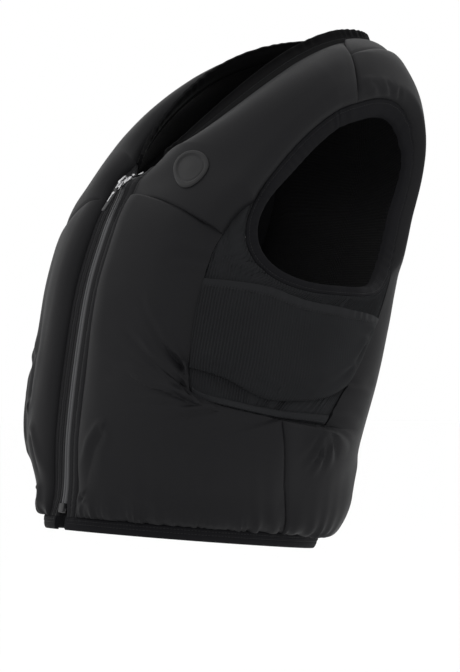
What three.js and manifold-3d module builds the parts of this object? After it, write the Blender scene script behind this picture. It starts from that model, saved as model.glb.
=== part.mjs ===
// Airbag riding vest in its worn form: padded panels, knitted sides, bound edges and a front zip.
// Millimetres, +Z up. The wearer faces -Y and the wearer's left is +X.
// The origin is where the vest sits: midway between the undersides of the two shoulder straps.
import * as THREE from 'three';
import { mergeVertices } from 'three/addons/utils/BufferGeometryUtils.js';
import Module from 'manifold-3d';

const wasm = await Module();
wasm.setup();

// Driving dimensions

const SHOULDER_SEAT = { y: 66, z: 262 };
const SEAM_GAP = 0.45;
const PLACKET = { inner: 5, outer: 28 };
const ZIP = { half: 5, bottom: 0.5, top: 7.5, sliderUp: 6.8, boxUp: 0.3, stopUp: 7.75, stopX: 8.5 };
const SLIDER = { length: 19, shoulder: 11, foot: 6, plate: 2.2, lift: 2.8 };
const BRIDGE = { length: 12, height: 4.2, wall: 1.6, width: 3.4 };
const PULL = { wire: 1.5, ringWidth: 9.4, ringLength: 11.2, eye: 2.1, hang: 15 };
const TAB = { length: 28, width: 7, thick: 2.4 };
const INLAY = { bead: 2.1, beadRise: 1.1, strip: 1.8, stripLength: 12, thick: 0.6, gap: 0.2 };
const ZIP_BOX = { width: 10, height: 10, thick: 4, lift: 0.4 };
const ZIP_STOP = { width: 7, height: 3, thick: 1.6, lift: 2.8 };
const SMALL_SLIDER = { length: 9, width: 7, thick: 3.2, tabLength: 15, tabWidth: 4.6, tabThick: 1.4 };
const POCKET_SLIDER = { around: -38, up: 2.8, lift: 12.9 };
const COLLAR_SLIDER = { around: 197, up: 8.5, lift: -3.2 };
const ARMHOLE = { around: 100, up: 5.22, aroundRadius: 43.5, upRadius: 1.4, power: 2.5, share: 0.905 };
const BADGE = { around: 34.6, up: 6.13, halfAround: 5.9, halfUp: 0.56, thick: 1.4, rim: 0.8, gap: 0.7 };

// The form is a loft through rings from the hem to the top of the neck band. Each ring has its middle at
// (0, y, z), is tilted up at the back, and is two half superellipses that meet at the sides. They are as
// deep as front and back, frontN and backN are their powers, and arch lifts the sides.
const RINGS = [
  { y: -41, z: -207, tilt: -4.8, half: 143, front: 152, back: 140, frontN: 2.0, backN: 2.3, arch: 0 },
  { y: -31, z: -175, tilt: -4.2, half: 156, front: 156, back: 146, frontN: 2.0, backN: 2.35, arch: 0 },
  { y: -29, z: -109, tilt: -1.4, half: 192, front: 155, back: 141, frontN: 2.25, backN: 2.4, arch: 0 },
  { y: -8, z: -28, tilt: -0.6, half: 196, front: 166, back: 144, frontN: 2.25, backN: 2.4, arch: 0 },
  { y: 12, z: 51, tilt: 0.6, half: 196, front: 172, back: 150, frontN: 2.25, backN: 2.4, arch: 0 },
  { y: 29, z: 117, tilt: 2.6, half: 196, front: 169, back: 155, frontN: 2.2, backN: 2.4, arch: 0 },
  { y: 53, z: 181, tilt: 10.0, half: 188, front: 176, back: 156, frontN: 1.8, backN: 2.4, arch: 7 },
  { y: 61, z: 235, tilt: 22.4, half: 143, front: 187, back: 159, frontN: 1.6, backN: 2.3, arch: 32 },
  { y: 70, z: 260, tilt: 27.7, half: 76, front: 189, back: 155, frontN: 1.75, backN: 2.2, arch: 44 },
  { y: 68, z: 274, tilt: 29.5, half: 64, front: 184, back: 154, frontN: 1.75, backN: 2.2, arch: 45 },
];
const NECKLINE = 8;
const BAND_TOP = 9;
const HEM_FOOT = -0.36;
const NECK_SEAM_AROUND = 121;

// Seams on the form, as rows of degrees around from the front and rings up from the hem, for the left side
const SEAMS = {
  yoke: [
    { around: 9.45, up: 5.8 },
    { around: 18, up: 5.61 },
    { around: 28, up: 5.35 },
    { around: 42, up: 4.98 },
    { around: 49.7, up: 4.78 },
  ],
  ribFront: [
    { around: 49, up: 2.55 },
    { around: 47.2, up: 2.88 },
    { around: 46.6, up: 3.35 },
    { around: 46.8, up: 3.88 },
    { around: 48, up: 4.5 },
    { around: 49.7, up: 4.78 },
  ],
  ribTop: [
    { around: 49.7, up: 4.78 },
    { around: 52.6, up: 5.12 },
    { around: 56.55, up: 5.35 },
  ],
  ribBottom: [
    { around: 83.4, up: 2.23 },
    { around: 66.4, up: 2.35 },
    { around: 53, up: 2.43 },
    { around: 49, up: 2.55 },
  ],
  side: [
    { around: 99.8, up: 0 },
    { around: 92.7, up: 1 },
    { around: 88, up: 1.65 },
    { around: 83.4, up: 2.23 },
  ],
  sideCorner: [
    { around: 83.4, up: 2.23 },
    { around: 101, up: 2.16 },
  ],
  backEdge: [
    { around: 101, up: 2.16 },
    { around: 105.4, up: 2.5 },
    { around: 114, up: 2.95 },
    { around: 124, up: 3.5 },
    { around: 137.8, up: 4.36 },
  ],
  shoulder: [
    { around: 95.9, up: 6.62 },
    { around: 99.5, up: 6.89 },
    { around: 106.3, up: 7.28 },
  ],
  shoulderTop: [
    { around: 106.3, up: 7.28 },
    { around: 113, up: 7.64 },
    { around: NECK_SEAM_AROUND, up: NECKLINE },
  ],
  collarBack: [
    { around: 106.3, up: 7.28 },
    { around: 130, up: 7.33 },
    { around: 180, up: 7.3 },
  ],
  pouchFoot: [
    { around: 48.9, up: 2.86 },
    { around: 56, up: 2.78 },
    { around: 62.5, up: 2.7 },
    { around: 70, up: 2.57 },
    { around: 77.5, up: 2.48 },
    { around: 88, up: 2.47 },
    { around: 97, up: 2.53 },
    { around: 103.5, up: 2.68 },
  ],
  pouchTop: [
    { around: 48.6, up: 4.05 },
    { around: 58, up: 4 },
    { around: 70, up: 3.92 },
    { around: 84, up: 3.74 },
    { around: 100, up: 3.64 },
    { around: 112, up: 3.6 },
    { around: 120.5, up: 3.55 },
  ],
  pouchFront: [
    { around: 48.9, up: 2.86 },
    { around: 48, up: 3.4 },
    { around: 48.6, up: 4.05 },
  ],
  pouchBack: [
    { around: 103.5, up: 2.68 },
    { around: 111, up: 3 },
    { around: 120.5, up: 3.55 },
  ],
};
const ARM_ANGLE = { rib: 3, shoulder: 87, back: 213 };

// Grid steps along each seam, the same in the pieces that meet there
const STEPS = {
  side: 5,
  ribBottom: 10,
  ribFront: 6,
  ribTop: 2,
  sideCorner: 2,
  yoke: 12,
  armFront: 11,
  armRib: 12,
  armBack: 9,
  neckFront: 3,
  neckSide: 11,
  collarBack: 7,
  backShoulder: 3,
  backEdge: 8,
  collarRows: 3,
};

// An edge that meets several neighbours changes along its run: from each share on it has another height and
// another width of the roll up to the middle
const FRONT_EDGE = [
  { from: 0, height: 12.5, roll: 30 },
  { from: 0.24, height: 4, roll: 80 },
];
const BACK_EDGE = [
  { from: 0, height: 12.5, roll: 32 },
  { from: 0.22, height: 4, roll: 64 },
  { from: 0.62, height: 4, roll: 18 },
];
const ARM_EDGE = [{ from: 0, height: 5, roll: 18 }];
const EDGE_BLEND = 0.04;

// Thickness of each kind of piece: below the form, full in its middle and at its four edges, with the width
// of the roll between the middle and an edge
const PADDING = {
  front: { inner: 1.2, full: 15, roll: 30, left: 3, right: FRONT_EDGE, bottom: 3, top: 14 },
  bolster: { inner: 1.2, full: 19, roll: 30, left: 5, right: ARM_EDGE, bottom: 14, top: 11 },
  back: { inner: 1.2, full: 15, roll: 32, left: BACK_EDGE, right: BACK_EDGE, bottom: 3, top: 11 },
  collar: { inner: 1.2, full: 12, roll: 18, left: 11, right: 11, bottom: 11, top: 5 },
  rib: { inner: 1.0, full: 1.8, roll: 10, left: 1.6, right: 1.6, bottom: 1.6, top: 1.6 },
  pocket: { inner: -2.9, full: 9, roll: 22, left: 4.6, right: 4.6, bottom: 4.6, top: 4.6 },
  trim: { inner: -2.6, full: 4.4, roll: 4, left: 3.6, right: 3.6, bottom: 3.6, top: 3.6 },
  binding: { inner: 2.2, full: 3.8, roll: 6, left: 0, right: 0, bottom: 1.4, top: 1.4 },
  neckBand: { inner: 1.4, full: 1.4, roll: 5, left: 1.4, right: 1.4, bottom: 1.4, top: 1.4 },
  hem: { inner: 1.8, full: 3.0, roll: 6, left: 2, right: 2, bottom: 1.4, top: 1.8 },
  placket: { inner: 1.0, full: 2.2, roll: 5, left: 1.2, right: 1.8, bottom: 1.4, top: 1.4 },
  zipChain: { inner: 0.6, full: 2.6, roll: 3, left: 1.6, right: 1.6, bottom: 1.6, top: 1.6 },
  lining: { inner: 5.0, full: -3.2, roll: 10, left: -3.2, right: -3.2, bottom: -3.2, top: -3.2 },
  chestLining: { inner: 3.9, full: -2.1, roll: 10, left: -2.1, right: -2.1, bottom: -2.1, top: -2.1 },
};

// Creases pressed into the padded faces: where each starts and ends, its half width and its depth
const FRONT_CREASES = [
  { from: [29.9, 3.48], to: [43.5, 2.86], wide: 9, deep: 3.2 },
  { from: [27, 3.12], to: [46, 2.62], wide: 9, deep: 4.0 },
  { from: [22.5, 2.61], to: [48, 2.42], wide: 10, deep: 3.6 },
  { from: [37.5, 2.19], to: [56, 2.31], wide: 9, deep: 2.4 },
  { from: [34, 4.41], to: [45.5, 4.33], wide: 8, deep: 2.4 },
  { from: [16, 1.1], to: [19, 1.9], wide: 8, deep: 2.4 },
];
const BACK_CREASES = [
  { from: [97.3, 2.14], to: [95.8, 1.83], wide: 7, deep: 3.6 },
  { from: [98.7, 2.14], to: [104.7, 1.83], wide: 7, deep: 4.0 },
  { from: [100.7, 2.18], to: [112.7, 2.02], wide: 7, deep: 3.2 },
  { from: [103, 2.42], to: [117.3, 2.42], wide: 9, deep: 3.0 },
  { from: [110, 6.6], to: [105.3, 6.73], wide: 8, deep: 3.0 },
];
const GATHER = { depth: 1.3, reach: 30 };
const POUCH = { sag: 8, middle: 0.16, reach: 0.34 };
const WELT = 0.6;

// Colours read from the cloth and the metal
const COLOURS = {
  shell: { color: 0x202022, roughness: 0.78, metalness: 0 },
  knit: { color: 0x1e2021, roughness: 0.86, metalness: 0 },
  binding: { color: 0x1b1b1e, roughness: 0.88, metalness: 0 },
  mesh: { color: 0x121213, roughness: 0.9, metalness: 0 },
  coil: { color: 0x515257, roughness: 0.5, metalness: 0.1 },
  metal: { color: 0xc9cacc, roughness: 0.28, metalness: 1 },
  rubber: { color: 0x2a2c2e, roughness: 0.6, metalness: 0 },
};

// The form

const UP_SCALE = 25;
const { lerp, clamp, smoothstep, degToRad, radToDeg } = THREE.MathUtils;

function ringAt(up) {
  const last = RINGS.length - 1;
  const i = clamp(Math.floor(up), 0, last - 1);
  const t = up - i;
  const row = {};
  for (const key of Object.keys(RINGS[0])) {
    const at = (k) => {
      if (k < 0) return 2 * RINGS[0][key] - RINGS[1][key];
      if (k > last) return 2 * RINGS[last][key] - RINGS[last - 1][key];
      return RINGS[k][key];
    };
    const [a, b, c, d] = [at(i - 1), at(i), at(i + 1), at(i + 2)];
    const square = 2 * a - 5 * b + 4 * c - d;
    const cube = 3 * b - a - 3 * c + d;
    row[key] = 0.5 * (2 * b + (c - a) * t + square * t * t + cube * t ** 3);
  }
  return row;
}

const signedPower = (x, p) => Math.sign(x) * Math.abs(x) ** p;

function formPoint(around, up) {
  const ring = ringAt(up);
  const angle = degToRad(around);
  const tilt = degToRad(ring.tilt);
  const forward = Math.cos(angle) > 0;
  const power = 2 / (forward ? ring.frontN : ring.backN);
  const depth = forward ? ring.front : ring.back;
  const y = depth * signedPower(-Math.cos(angle), power);
  const lift = ring.arch * Math.sin(angle) ** 2;
  return new THREE.Vector3(
    ring.half * signedPower(Math.sin(angle), power),
    ring.y + y * Math.cos(tilt) - lift * Math.sin(tilt),
    ring.z + y * Math.sin(tilt) + lift * Math.cos(tilt),
  );
}

function formFrame(around, up) {
  const [stepAround, stepUp] = [0.2, 0.01];
  const across = formPoint(around + stepAround, up).sub(formPoint(around - stepAround, up)).normalize();
  const along = formPoint(around, up + stepUp).sub(formPoint(around, up - stepUp));
  const normal = across.clone().cross(along).normalize();
  return { across, along: normal.clone().cross(across), normal };
}

// The turn around from the front at which a ring is this far from the middle of the vest
function aroundAt(x, up) {
  const ring = ringAt(up);
  return Math.sign(x) * radToDeg(Math.asin((Math.abs(x) / ring.half) ** (ring.frontN / 2)));
}

// Seam curves: each is a function of 0 to 1 that gives a point of the pattern (degrees around, rings up)

const pattern = (around, up) => new THREE.Vector2(around, up);

function through(rows) {
  const curve = new THREE.SplineCurve(rows.map((row) => new THREE.Vector2(row.around, row.up * UP_SCALE)));
  return (t) => {
    const p = curve.getPointAt(t);
    return pattern(p.x, p.y / UP_SCALE);
  };
}

function armholeArc(from, to, share = 1) {
  return (t) => {
    const angle = degToRad(lerp(from, to, t));
    const power = 2 / ARMHOLE.power;
    return pattern(
      ARMHOLE.around - share * ARMHOLE.aroundRadius * signedPower(Math.cos(angle), power),
      ARMHOLE.up + share * ARMHOLE.upRadius * signedPower(Math.sin(angle), power),
    );
  };
}

const straight = (a, b) => (t) => a.clone().lerp(b, t);
const level = (up, from, to) => straight(pattern(from, up), pattern(to, up));
const beside = (x, low, high) => (t) => pattern(aroundAt(x, lerp(low, high, t)), lerp(low, high, t));

// Curves end to end, each with its own number of grid steps
function joined(...parts) {
  const steps = parts.reduce((sum, [, count]) => sum + count, 0);
  const whole = (t) => {
    let left = t * steps;
    let k = 0;
    while (k < parts.length - 1 && left > parts[k][1]) left -= parts[k++][1];
    return parts[k][0](Math.min(left / parts[k][1], 1));
  };
  return Object.assign(whole, { steps });
}

const reversed = (curve) => (t) => curve(1 - t);
const acrossBack = (p) => pattern(360 - p.x, p.y);
const mirrored = (curve) => (t) => acrossBack(curve(t));

function patternLength(curve) {
  const pieces = 24;
  let sum = 0;
  for (let k = 0; k < pieces; k++) {
    const [a, b] = [curve(k / pieces), curve((k + 1) / pieces)];
    sum += formPoint(a.x, a.y).distanceTo(formPoint(b.x, b.y));
  }
  return sum;
}

const seam = Object.fromEntries(Object.entries(SEAMS).map(([name, rows]) => [name, through(rows)]));

// Panels: a patch of the pattern between four seam curves, thickened along the form's normals

function coons({ bottom, top, left, right, ease = 1 }) {
  return (s, t) => {
    const high = t ** ease;
    const low = 1 - high;
    const p = bottom(s).multiplyScalar(low).addScaledVector(top(s), high);
    p.addScaledVector(left(t), 1 - s).addScaledVector(right(t), s);
    p.addScaledVector(bottom(0), -(1 - s) * low).addScaledVector(bottom(1), -s * low);
    return p.addScaledVector(top(0), -(1 - s) * high).addScaledVector(top(1), -s * high);
  };
}

// A padded face falls along a quarter ellipse to the height of each edge
const rolled = (reach, roll) => Math.sqrt(1 - (1 - Math.min(reach / roll, 1)) ** 2);

function edgeAt(edge, share) {
  let [{ height, roll }] = edge;
  for (const run of edge.slice(1)) {
    const blend = smoothstep(share, run.from - EDGE_BLEND, run.from + EDGE_BLEND);
    height = lerp(height, run.height, blend);
    roll = lerp(roll, run.roll, blend);
  }
  return { height, roll };
}

function padLift(g, padding) {
  const { full } = padding;
  let lift = full;
  for (const name of ['left', 'right', 'bottom', 'top']) {
    const share = name === 'left' || name === 'right' ? g.t : g.s;
    const even = { height: padding[name], roll: padding.roll };
    const { height, roll } = Array.isArray(padding[name]) ? edgeAt(padding[name], share) : even;
    lift *= 1 - (1 - height / full) * (1 - rolled(g[name], roll));
  }
  return lift;
}

function creaseDepth(point, creases) {
  const near = new THREE.Vector3(Math.abs(point.x), point.y, point.z);
  let depth = 0;
  for (const crease of creases) {
    const line = new THREE.Line3(formPoint(...crease.from), formPoint(...crease.to));
    const share = line.closestPointToPointParameter(near, true);
    const reach = line.at(share, new THREE.Vector3()).distanceTo(near) / crease.wide;
    depth += crease.deep * Math.exp(-reach * reach) * Math.sin(Math.PI * (0.12 + 0.76 * share));
  }
  return depth;
}

// Grid of one panel: points on the form, their normals and their distance from the panel's edges
function panelGrid({ patch, columns, rows, side = 1, closed = false }) {
  const width = patternLength((t) => patch(t, 0.5));
  const height = patternLength((t) => patch(0.5, t));
  const [gapS, gapT] = [closed ? 0 : SEAM_GAP / width, SEAM_GAP / height];
  const grid = [];
  for (let row = 0; row <= rows; row++) {
    for (let column = 0; column <= columns - (closed ? 1 : 0); column++) {
      const s = clamp(column / columns, gapS, 1 - gapS);
      const t = clamp(row / rows, gapT, 1 - gapT);
      const p = patch(s, t);
      grid.push({
        s,
        t,
        column,
        point: formPoint(side * p.x, p.y),
        normal: formFrame(side * p.x, p.y).normal,
        left: closed ? Infinity : s * width,
        right: closed ? Infinity : (1 - s) * width,
        bottom: t * height,
        top: (1 - t) * height,
      });
    }
  }
  return grid;
}

function panelGeometry(options) {
  const { columns, rows, padding, closed = false, creases = [], gather = 0, shape = () => 0 } = options;
  const grid = panelGrid(options);
  const outer = grid.map((g) => {
    const lift = padLift(g, padding);
    const crease = (lift / padding.full) * creaseDepth(g.point, creases);
    const pucker = gather * (g.column % 2) * Math.max(0, 1 - g.bottom / GATHER.reach);
    return g.point.clone().addScaledVector(g.normal, lift + shape(g) - crease - pucker);
  });
  const inner = grid.map((g) => g.point.clone().addScaledVector(g.normal, -padding.inner));
  return closedShell(outer, inner, columns, rows, closed);
}

// Two faces of the same grid, joined round their rim into one closed body
function closedShell(outer, inner, columns, rows, closed) {
  const wide = closed ? columns : columns + 1;
  const at = (row, column) => row * wide + (closed ? column % columns : column);
  const low = outer.length;
  const index = [];
  const quad = (a, b, c, d) => index.push(a, b, c, a, c, d);
  for (let row = 0; row < rows; row++) {
    for (let column = 0; column < columns; column++) {
      const [a, b] = [at(row, column), at(row, column + 1)];
      const [c, d] = [at(row + 1, column + 1), at(row + 1, column)];
      quad(a, b, c, d);
      quad(low + a, low + d, low + c, low + b);
    }
  }
  for (let column = 0; column < columns; column++) {
    const [a, b] = [at(0, column), at(0, column + 1)];
    const [c, d] = [at(rows, column), at(rows, column + 1)];
    quad(a, low + a, low + b, b);
    quad(c, d, low + d, low + c);
  }
  for (let row = 0; row < rows && !closed; row++) {
    const [a, b] = [at(row, 0), at(row + 1, 0)];
    const [c, d] = [at(row, columns), at(row + 1, columns)];
    quad(a, b, low + b, low + a);
    quad(c, low + c, low + d, d);
  }
  const points = [...outer, ...inner];
  const geometry = new THREE.BufferGeometry();
  geometry.setAttribute('position', new THREE.Float32BufferAttribute(points.flatMap((p) => p.toArray()), 3));
  geometry.setIndex(signedVolume(points, index) < 0 ? index.toReversed() : index);
  geometry.computeVertexNormals();
  return geometry;
}

function signedVolume(points, index) {
  let sum = 0;
  for (let k = 0; k < index.length; k += 3) {
    const [a, b, c] = [points[index[k]], points[index[k + 1]], points[index[k + 2]]];
    sum += a.dot(b.clone().cross(c));
  }
  return sum;
}

// Joining hard pieces into one body

function toSolid(geometry) {
  const bare = geometry.clone();
  bare.deleteAttribute('normal');
  bare.deleteAttribute('uv');
  const merged = mergeVertices(bare, 1e-4);
  const vertProperties = new Float32Array(merged.attributes.position.array);
  const triVerts = new Uint32Array(merged.index.array);
  return new wasm.Manifold(new wasm.Mesh({ numProp: 3, vertProperties, triVerts }));
}

function fused(...geometries) {
  const made = geometries.map(toSolid).reduce((whole, piece) => whole.add(piece)).getMesh();
  const geometry = new THREE.BufferGeometry();
  geometry.setAttribute('position', new THREE.BufferAttribute(made.vertProperties, 3));
  geometry.setIndex(new THREE.BufferAttribute(made.triVerts, 1));
  geometry.computeVertexNormals();
  return geometry;
}

const vest = new THREE.Group();
vest.position.set(0, -SHOULDER_SEAT.y, -SHOULDER_SEAT.z);

function addPiece(name, geometry, colour, parent = vest) {
  const piece = new THREE.Mesh(geometry, new THREE.MeshStandardMaterial(COLOURS[colour]));
  piece.name = name;
  parent.add(piece);
  return piece;
}

const SIDES = { left: 1, right: -1 };

// Padded panels

const frontPatch = coons({
  bottom: straight(pattern(aroundAt(PLACKET.outer, 0), 0), seam.side(0)),
  top: seam.yoke,
  left: beside(PLACKET.outer, 0, SEAMS.yoke[0].up),
  right: joined([seam.side, STEPS.side], [seam.ribBottom, STEPS.ribBottom], [seam.ribFront, STEPS.ribFront]),
});
const frontRows = STEPS.side + STEPS.ribBottom + STEPS.ribFront;

const neckFrontAround = aroundAt(PLACKET.outer, NECKLINE);
const bolsterPatch = coons({
  bottom: seam.yoke,
  top: reversed(joined([seam.shoulder, 1], [seam.shoulderTop, 1])),
  left: joined(
    [beside(PLACKET.outer, SEAMS.yoke[0].up, NECKLINE), STEPS.neckFront],
    [level(NECKLINE, neckFrontAround, NECK_SEAM_AROUND), STEPS.neckSide],
  ),
  right: joined(
    [seam.ribTop, STEPS.ribTop],
    [armholeArc(ARM_ANGLE.rib, ARM_ANGLE.shoulder), STEPS.armFront],
  ),
});
const bolsterRows = STEPS.ribTop + STEPS.armFront;

function addFront(word, side) {
  const front = { patch: frontPatch, columns: STEPS.yoke, rows: frontRows, side, padding: PADDING.front };
  const details = { creases: FRONT_CREASES, gather: GATHER.depth };
  addPiece(`front_panel_${word}`, panelGeometry({ ...front, ...details }), 'shell');
  const bolster = { patch: bolsterPatch, columns: STEPS.yoke, rows: bolsterRows, side };
  addPiece(`chest_bolster_${word}`, panelGeometry({ ...bolster, padding: PADDING.bolster }), 'shell');
}

const backSide = joined(
  [seam.side, STEPS.side],
  [seam.sideCorner, STEPS.sideCorner],
  [seam.backEdge, STEPS.backEdge],
  [armholeArc(ARM_ANGLE.back, ARM_ANGLE.shoulder), STEPS.armBack],
);
const backTop = joined([seam.shoulder, STEPS.backShoulder], [seam.collarBack, STEPS.collarBack]);
const backHalf = coons({
  bottom: straight(seam.side(0), pattern(180, 0)),
  top: backTop,
  left: backSide,
  right: straight(pattern(180, 0), backTop(1)),
  ease: 4,
});
const backPatch = (s, t) => (s <= 0.5 ? backHalf(2 * s, t) : acrossBack(backHalf(2 - 2 * s, t)));
const collarPatch = coons({
  bottom: joined([seam.collarBack, 1], [reversed(mirrored(seam.collarBack)), 1]),
  top: level(NECKLINE, NECK_SEAM_AROUND, 360 - NECK_SEAM_AROUND),
  left: seam.shoulderTop,
  right: mirrored(seam.shoulderTop),
});

function addBack() {
  const back = { patch: backPatch, columns: 2 * backTop.steps, rows: backSide.steps, padding: PADDING.back };
  const details = { creases: BACK_CREASES, gather: GATHER.depth };
  addPiece('back_panel', panelGeometry({ ...back, ...details }), 'shell');
  const collar = { patch: collarPatch, columns: 2 * STEPS.collarBack, rows: STEPS.collarRows };
  addPiece('back_collar', panelGeometry({ ...collar, padding: PADDING.collar }), 'shell');
}

// Knitted sides: a ribbed panel, a slack pouch pocket over it and a trim along its foot

const ribPatch = coons({
  bottom: joined([reversed(seam.ribBottom), STEPS.ribBottom], [seam.sideCorner, STEPS.sideCorner]),
  top: armholeArc(ARM_ANGLE.rib, ARM_ANGLE.back - 360),
  left: joined([seam.ribFront, STEPS.ribFront], [seam.ribTop, STEPS.ribTop]),
  right: seam.backEdge,
});
const ribRows = STEPS.ribFront + STEPS.ribTop;
const pocketPatch = coons({
  bottom: seam.pouchFoot,
  top: seam.pouchTop,
  left: seam.pouchFront,
  right: seam.pouchBack,
});
const trimPatch = (s, t) => ribPatch(lerp(0.05, 0.99, s), lerp(0.012, 0.055, t));

function pouch(g) {
  const reach = (g.t - POUCH.middle) / POUCH.reach;
  return POUCH.sag * Math.exp(-reach * reach) * Math.sin(Math.PI * g.s) ** 0.7;
}

function addSide(word, side) {
  const rib = { patch: ribPatch, columns: STEPS.armRib, rows: ribRows, side, padding: PADDING.rib };
  addPiece(`side_panel_${word}`, panelGeometry(rib), 'knit');
  const pocket = { patch: pocketPatch, columns: 10, rows: 6, side, padding: PADDING.pocket, shape: pouch };
  addPiece(`side_pocket_${word}`, panelGeometry(pocket), 'knit');
  const trim = { patch: trimPatch, columns: 12, rows: 1, side, padding: PADDING.trim };
  addPiece(`side_trim_${word}`, panelGeometry(trim), 'binding');
}

// Bound edges: armholes, neck and hem

function armholeLoop(share) {
  const { rib, shoulder, back } = ARM_ANGLE;
  return joined(
    [armholeArc(rib, shoulder, share), STEPS.armFront],
    [armholeArc(shoulder, back, share), STEPS.armBack],
    [armholeArc(back, rib + 360, share), STEPS.armRib],
  );
}

const bindingPatch = (s, t) => armholeLoop(lerp(ARMHOLE.share, 1, t))(s);
const neckBandAround = joined(
  [straight(pattern(neckFrontAround, 0), pattern(NECK_SEAM_AROUND, 0)), STEPS.neckSide],
  [straight(pattern(NECK_SEAM_AROUND, 0), pattern(360 - NECK_SEAM_AROUND, 0)), 2 * STEPS.collarBack],
  [straight(pattern(360 - NECK_SEAM_AROUND, 0), pattern(360 - neckFrontAround, 0)), STEPS.neckSide],
);
const neckBandPatch = (s, t) => pattern(neckBandAround(s).x, lerp(NECKLINE, BAND_TOP, t));
const hemStart = aroundAt(PLACKET.inner, 0);
const hemPatch = (s, t) => pattern(lerp(hemStart, 360 - hemStart, s), lerp(HEM_FOOT, 0, t));

function addEdges() {
  for (const [word, side] of Object.entries(SIDES)) {
    const columns = armholeLoop(1).steps;
    const loop = { patch: bindingPatch, columns, rows: 2, side, closed: true, padding: PADDING.binding };
    addPiece(`armhole_binding_${word}`, panelGeometry(loop), 'binding');
  }
  const neck = { patch: neckBandPatch, columns: neckBandAround.steps, rows: 1, padding: PADDING.neckBand };
  addPiece('neck_band', panelGeometry(neck), 'binding');
  const hem = { patch: hemPatch, columns: 34, rows: 2, padding: PADDING.hem };
  addPiece('hem_band', panelGeometry(hem), 'binding');
}

// Lining, where the open neck and armholes show it

function addLining() {
  for (const [word, side] of Object.entries(SIDES)) {
    const chest = { patch: bolsterPatch, columns: 4, rows: 9, side, padding: PADDING.chestLining };
    addPiece(`lining_chest_${word}`, panelGeometry(chest), 'mesh');
  }
  const back = { patch: backPatch, columns: backTop.steps, rows: 11, padding: PADDING.lining };
  addPiece('lining_back', panelGeometry(back), 'mesh');
}

// Front zip. Hard pieces are modelled flat: X across, Y up the zip, Z off the cloth

const welt = (g) => WELT * Math.cos(4 * Math.PI * g.s);

function addPlackets() {
  for (const [word, side] of Object.entries(SIDES)) {
    const patch = (s, t) => {
      const up = lerp(0, NECKLINE, t);
      return pattern(aroundAt(lerp(PLACKET.inner, PLACKET.outer, s), up), up);
    };
    const placket = { patch, columns: 4, rows: 12, side, padding: PADDING.placket, shape: welt };
    addPiece(`placket_${word}`, panelGeometry(placket), 'shell');
  }
  const chain = (s, t) => {
    const up = lerp(ZIP.bottom, ZIP.top, t);
    return pattern(aroundAt(lerp(-ZIP.half, ZIP.half, s), up), up);
  };
  const strip = { patch: chain, columns: 2, rows: 12, padding: PADDING.zipChain };
  addPiece('zip_chain', panelGeometry(strip), 'coil');
}

function seat(object, around, up, lift) {
  const { across, along, normal } = formFrame(around, up);
  object.quaternion.setFromRotationMatrix(new THREE.Matrix4().makeBasis(across, along, normal));
  object.position.copy(formPoint(around, up)).addScaledVector(normal, lift);
  return object;
}

function roundedShape(width, low, high, radius) {
  const [x, r] = [width / 2, radius];
  const shape = new THREE.Shape();
  shape.moveTo(-x + r, low).lineTo(x - r, low).absarc(x - r, low + r, r, -Math.PI / 2, 0);
  shape.lineTo(x, high - r).absarc(x - r, high - r, r, 0, Math.PI / 2);
  shape.lineTo(-x + r, high).absarc(-x + r, high - r, r, Math.PI / 2, Math.PI);
  shape.lineTo(-x, low + r).absarc(-x + r, low + r, r, Math.PI, 1.5 * Math.PI);
  return shape;
}

const plain = (depth) => ({ depth, bevelEnabled: false, curveSegments: 1 });
const softened = (depth, bevel) => ({
  depth: depth - 2 * bevel,
  bevelSize: bevel,
  bevelThickness: bevel,
  bevelOffset: -bevel,
  bevelSegments: 1,
  curveSegments: 1,
});

// Turns a profile drawn along the zip and off the cloth into a solid of this width across the zip
function acrossZip(shape, width) {
  const geometry = new THREE.ExtrudeGeometry(shape, plain(width));
  geometry.rotateX(Math.PI / 2).rotateZ(Math.PI / 2);
  return geometry.translate(-width / 2, 0, 0);
}

function sliderGeometry() {
  const { length, shoulder, foot, plate } = SLIDER;
  const outline = new THREE.Shape();
  outline.moveTo(-foot / 2, -length / 2).lineTo(foot / 2, -length / 2).lineTo(foot / 2, 0);
  outline.lineTo(shoulder / 2, length / 4).lineTo(shoulder / 3, length / 2);
  outline.lineTo(-shoulder / 3, length / 2).lineTo(-shoulder / 2, length / 4).lineTo(-foot / 2, 0);
  const body = new THREE.ExtrudeGeometry(outline, softened(plate, 0.5)).translate(0, 0, 0.5);
  const arch = roundedShape(BRIDGE.length, -plate / 2, BRIDGE.height, 1.5);
  const { wall } = BRIDGE;
  arch.holes.push(roundedShape(BRIDGE.length - 2 * wall, 0, BRIDGE.height - wall, 0.6));
  return fused(body, acrossZip(arch, BRIDGE.width).translate(0, 0, plate));
}

function ringGeometry() {
  const { wire, ringWidth, ringLength } = PULL;
  const outline = roundedShape(ringWidth, -ringLength, wire / 2, 1.4);
  outline.holes.push(roundedShape(ringWidth - 2 * wire, -ringLength + wire, -wire / 2, 0.5));
  return new THREE.ExtrudeGeometry(outline, plain(wire)).translate(0, 0, -wire / 2);
}

function tabGeometry() {
  const { wire, ringWidth, ringLength, eye } = PULL;
  const bar = -ringLength + wire / 2;
  const loop = new THREE.Shape().absarc(0, 0, eye, 0, 2 * Math.PI);
  loop.holes.push(new THREE.Path().absarc(0, 0, 0.78 * wire, 0, 2 * Math.PI));
  const knuckle = new THREE.ExtrudeGeometry(loop, { ...plain(ringWidth - 2 * wire - 1), curveSegments: 10 });
  knuckle.rotateX(Math.PI / 2).rotateZ(Math.PI / 2).translate(-(ringWidth - 2 * wire - 1) / 2, bar, 0);
  const top = bar - eye + 0.7;
  const plate = roundedShape(TAB.width, top - TAB.length, top, 2);
  const body = new THREE.ExtrudeGeometry(plate, softened(TAB.thick, 0.5));
  return fused(knuckle, body.translate(0, 0, 0.5 - TAB.thick / 2));
}

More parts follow.
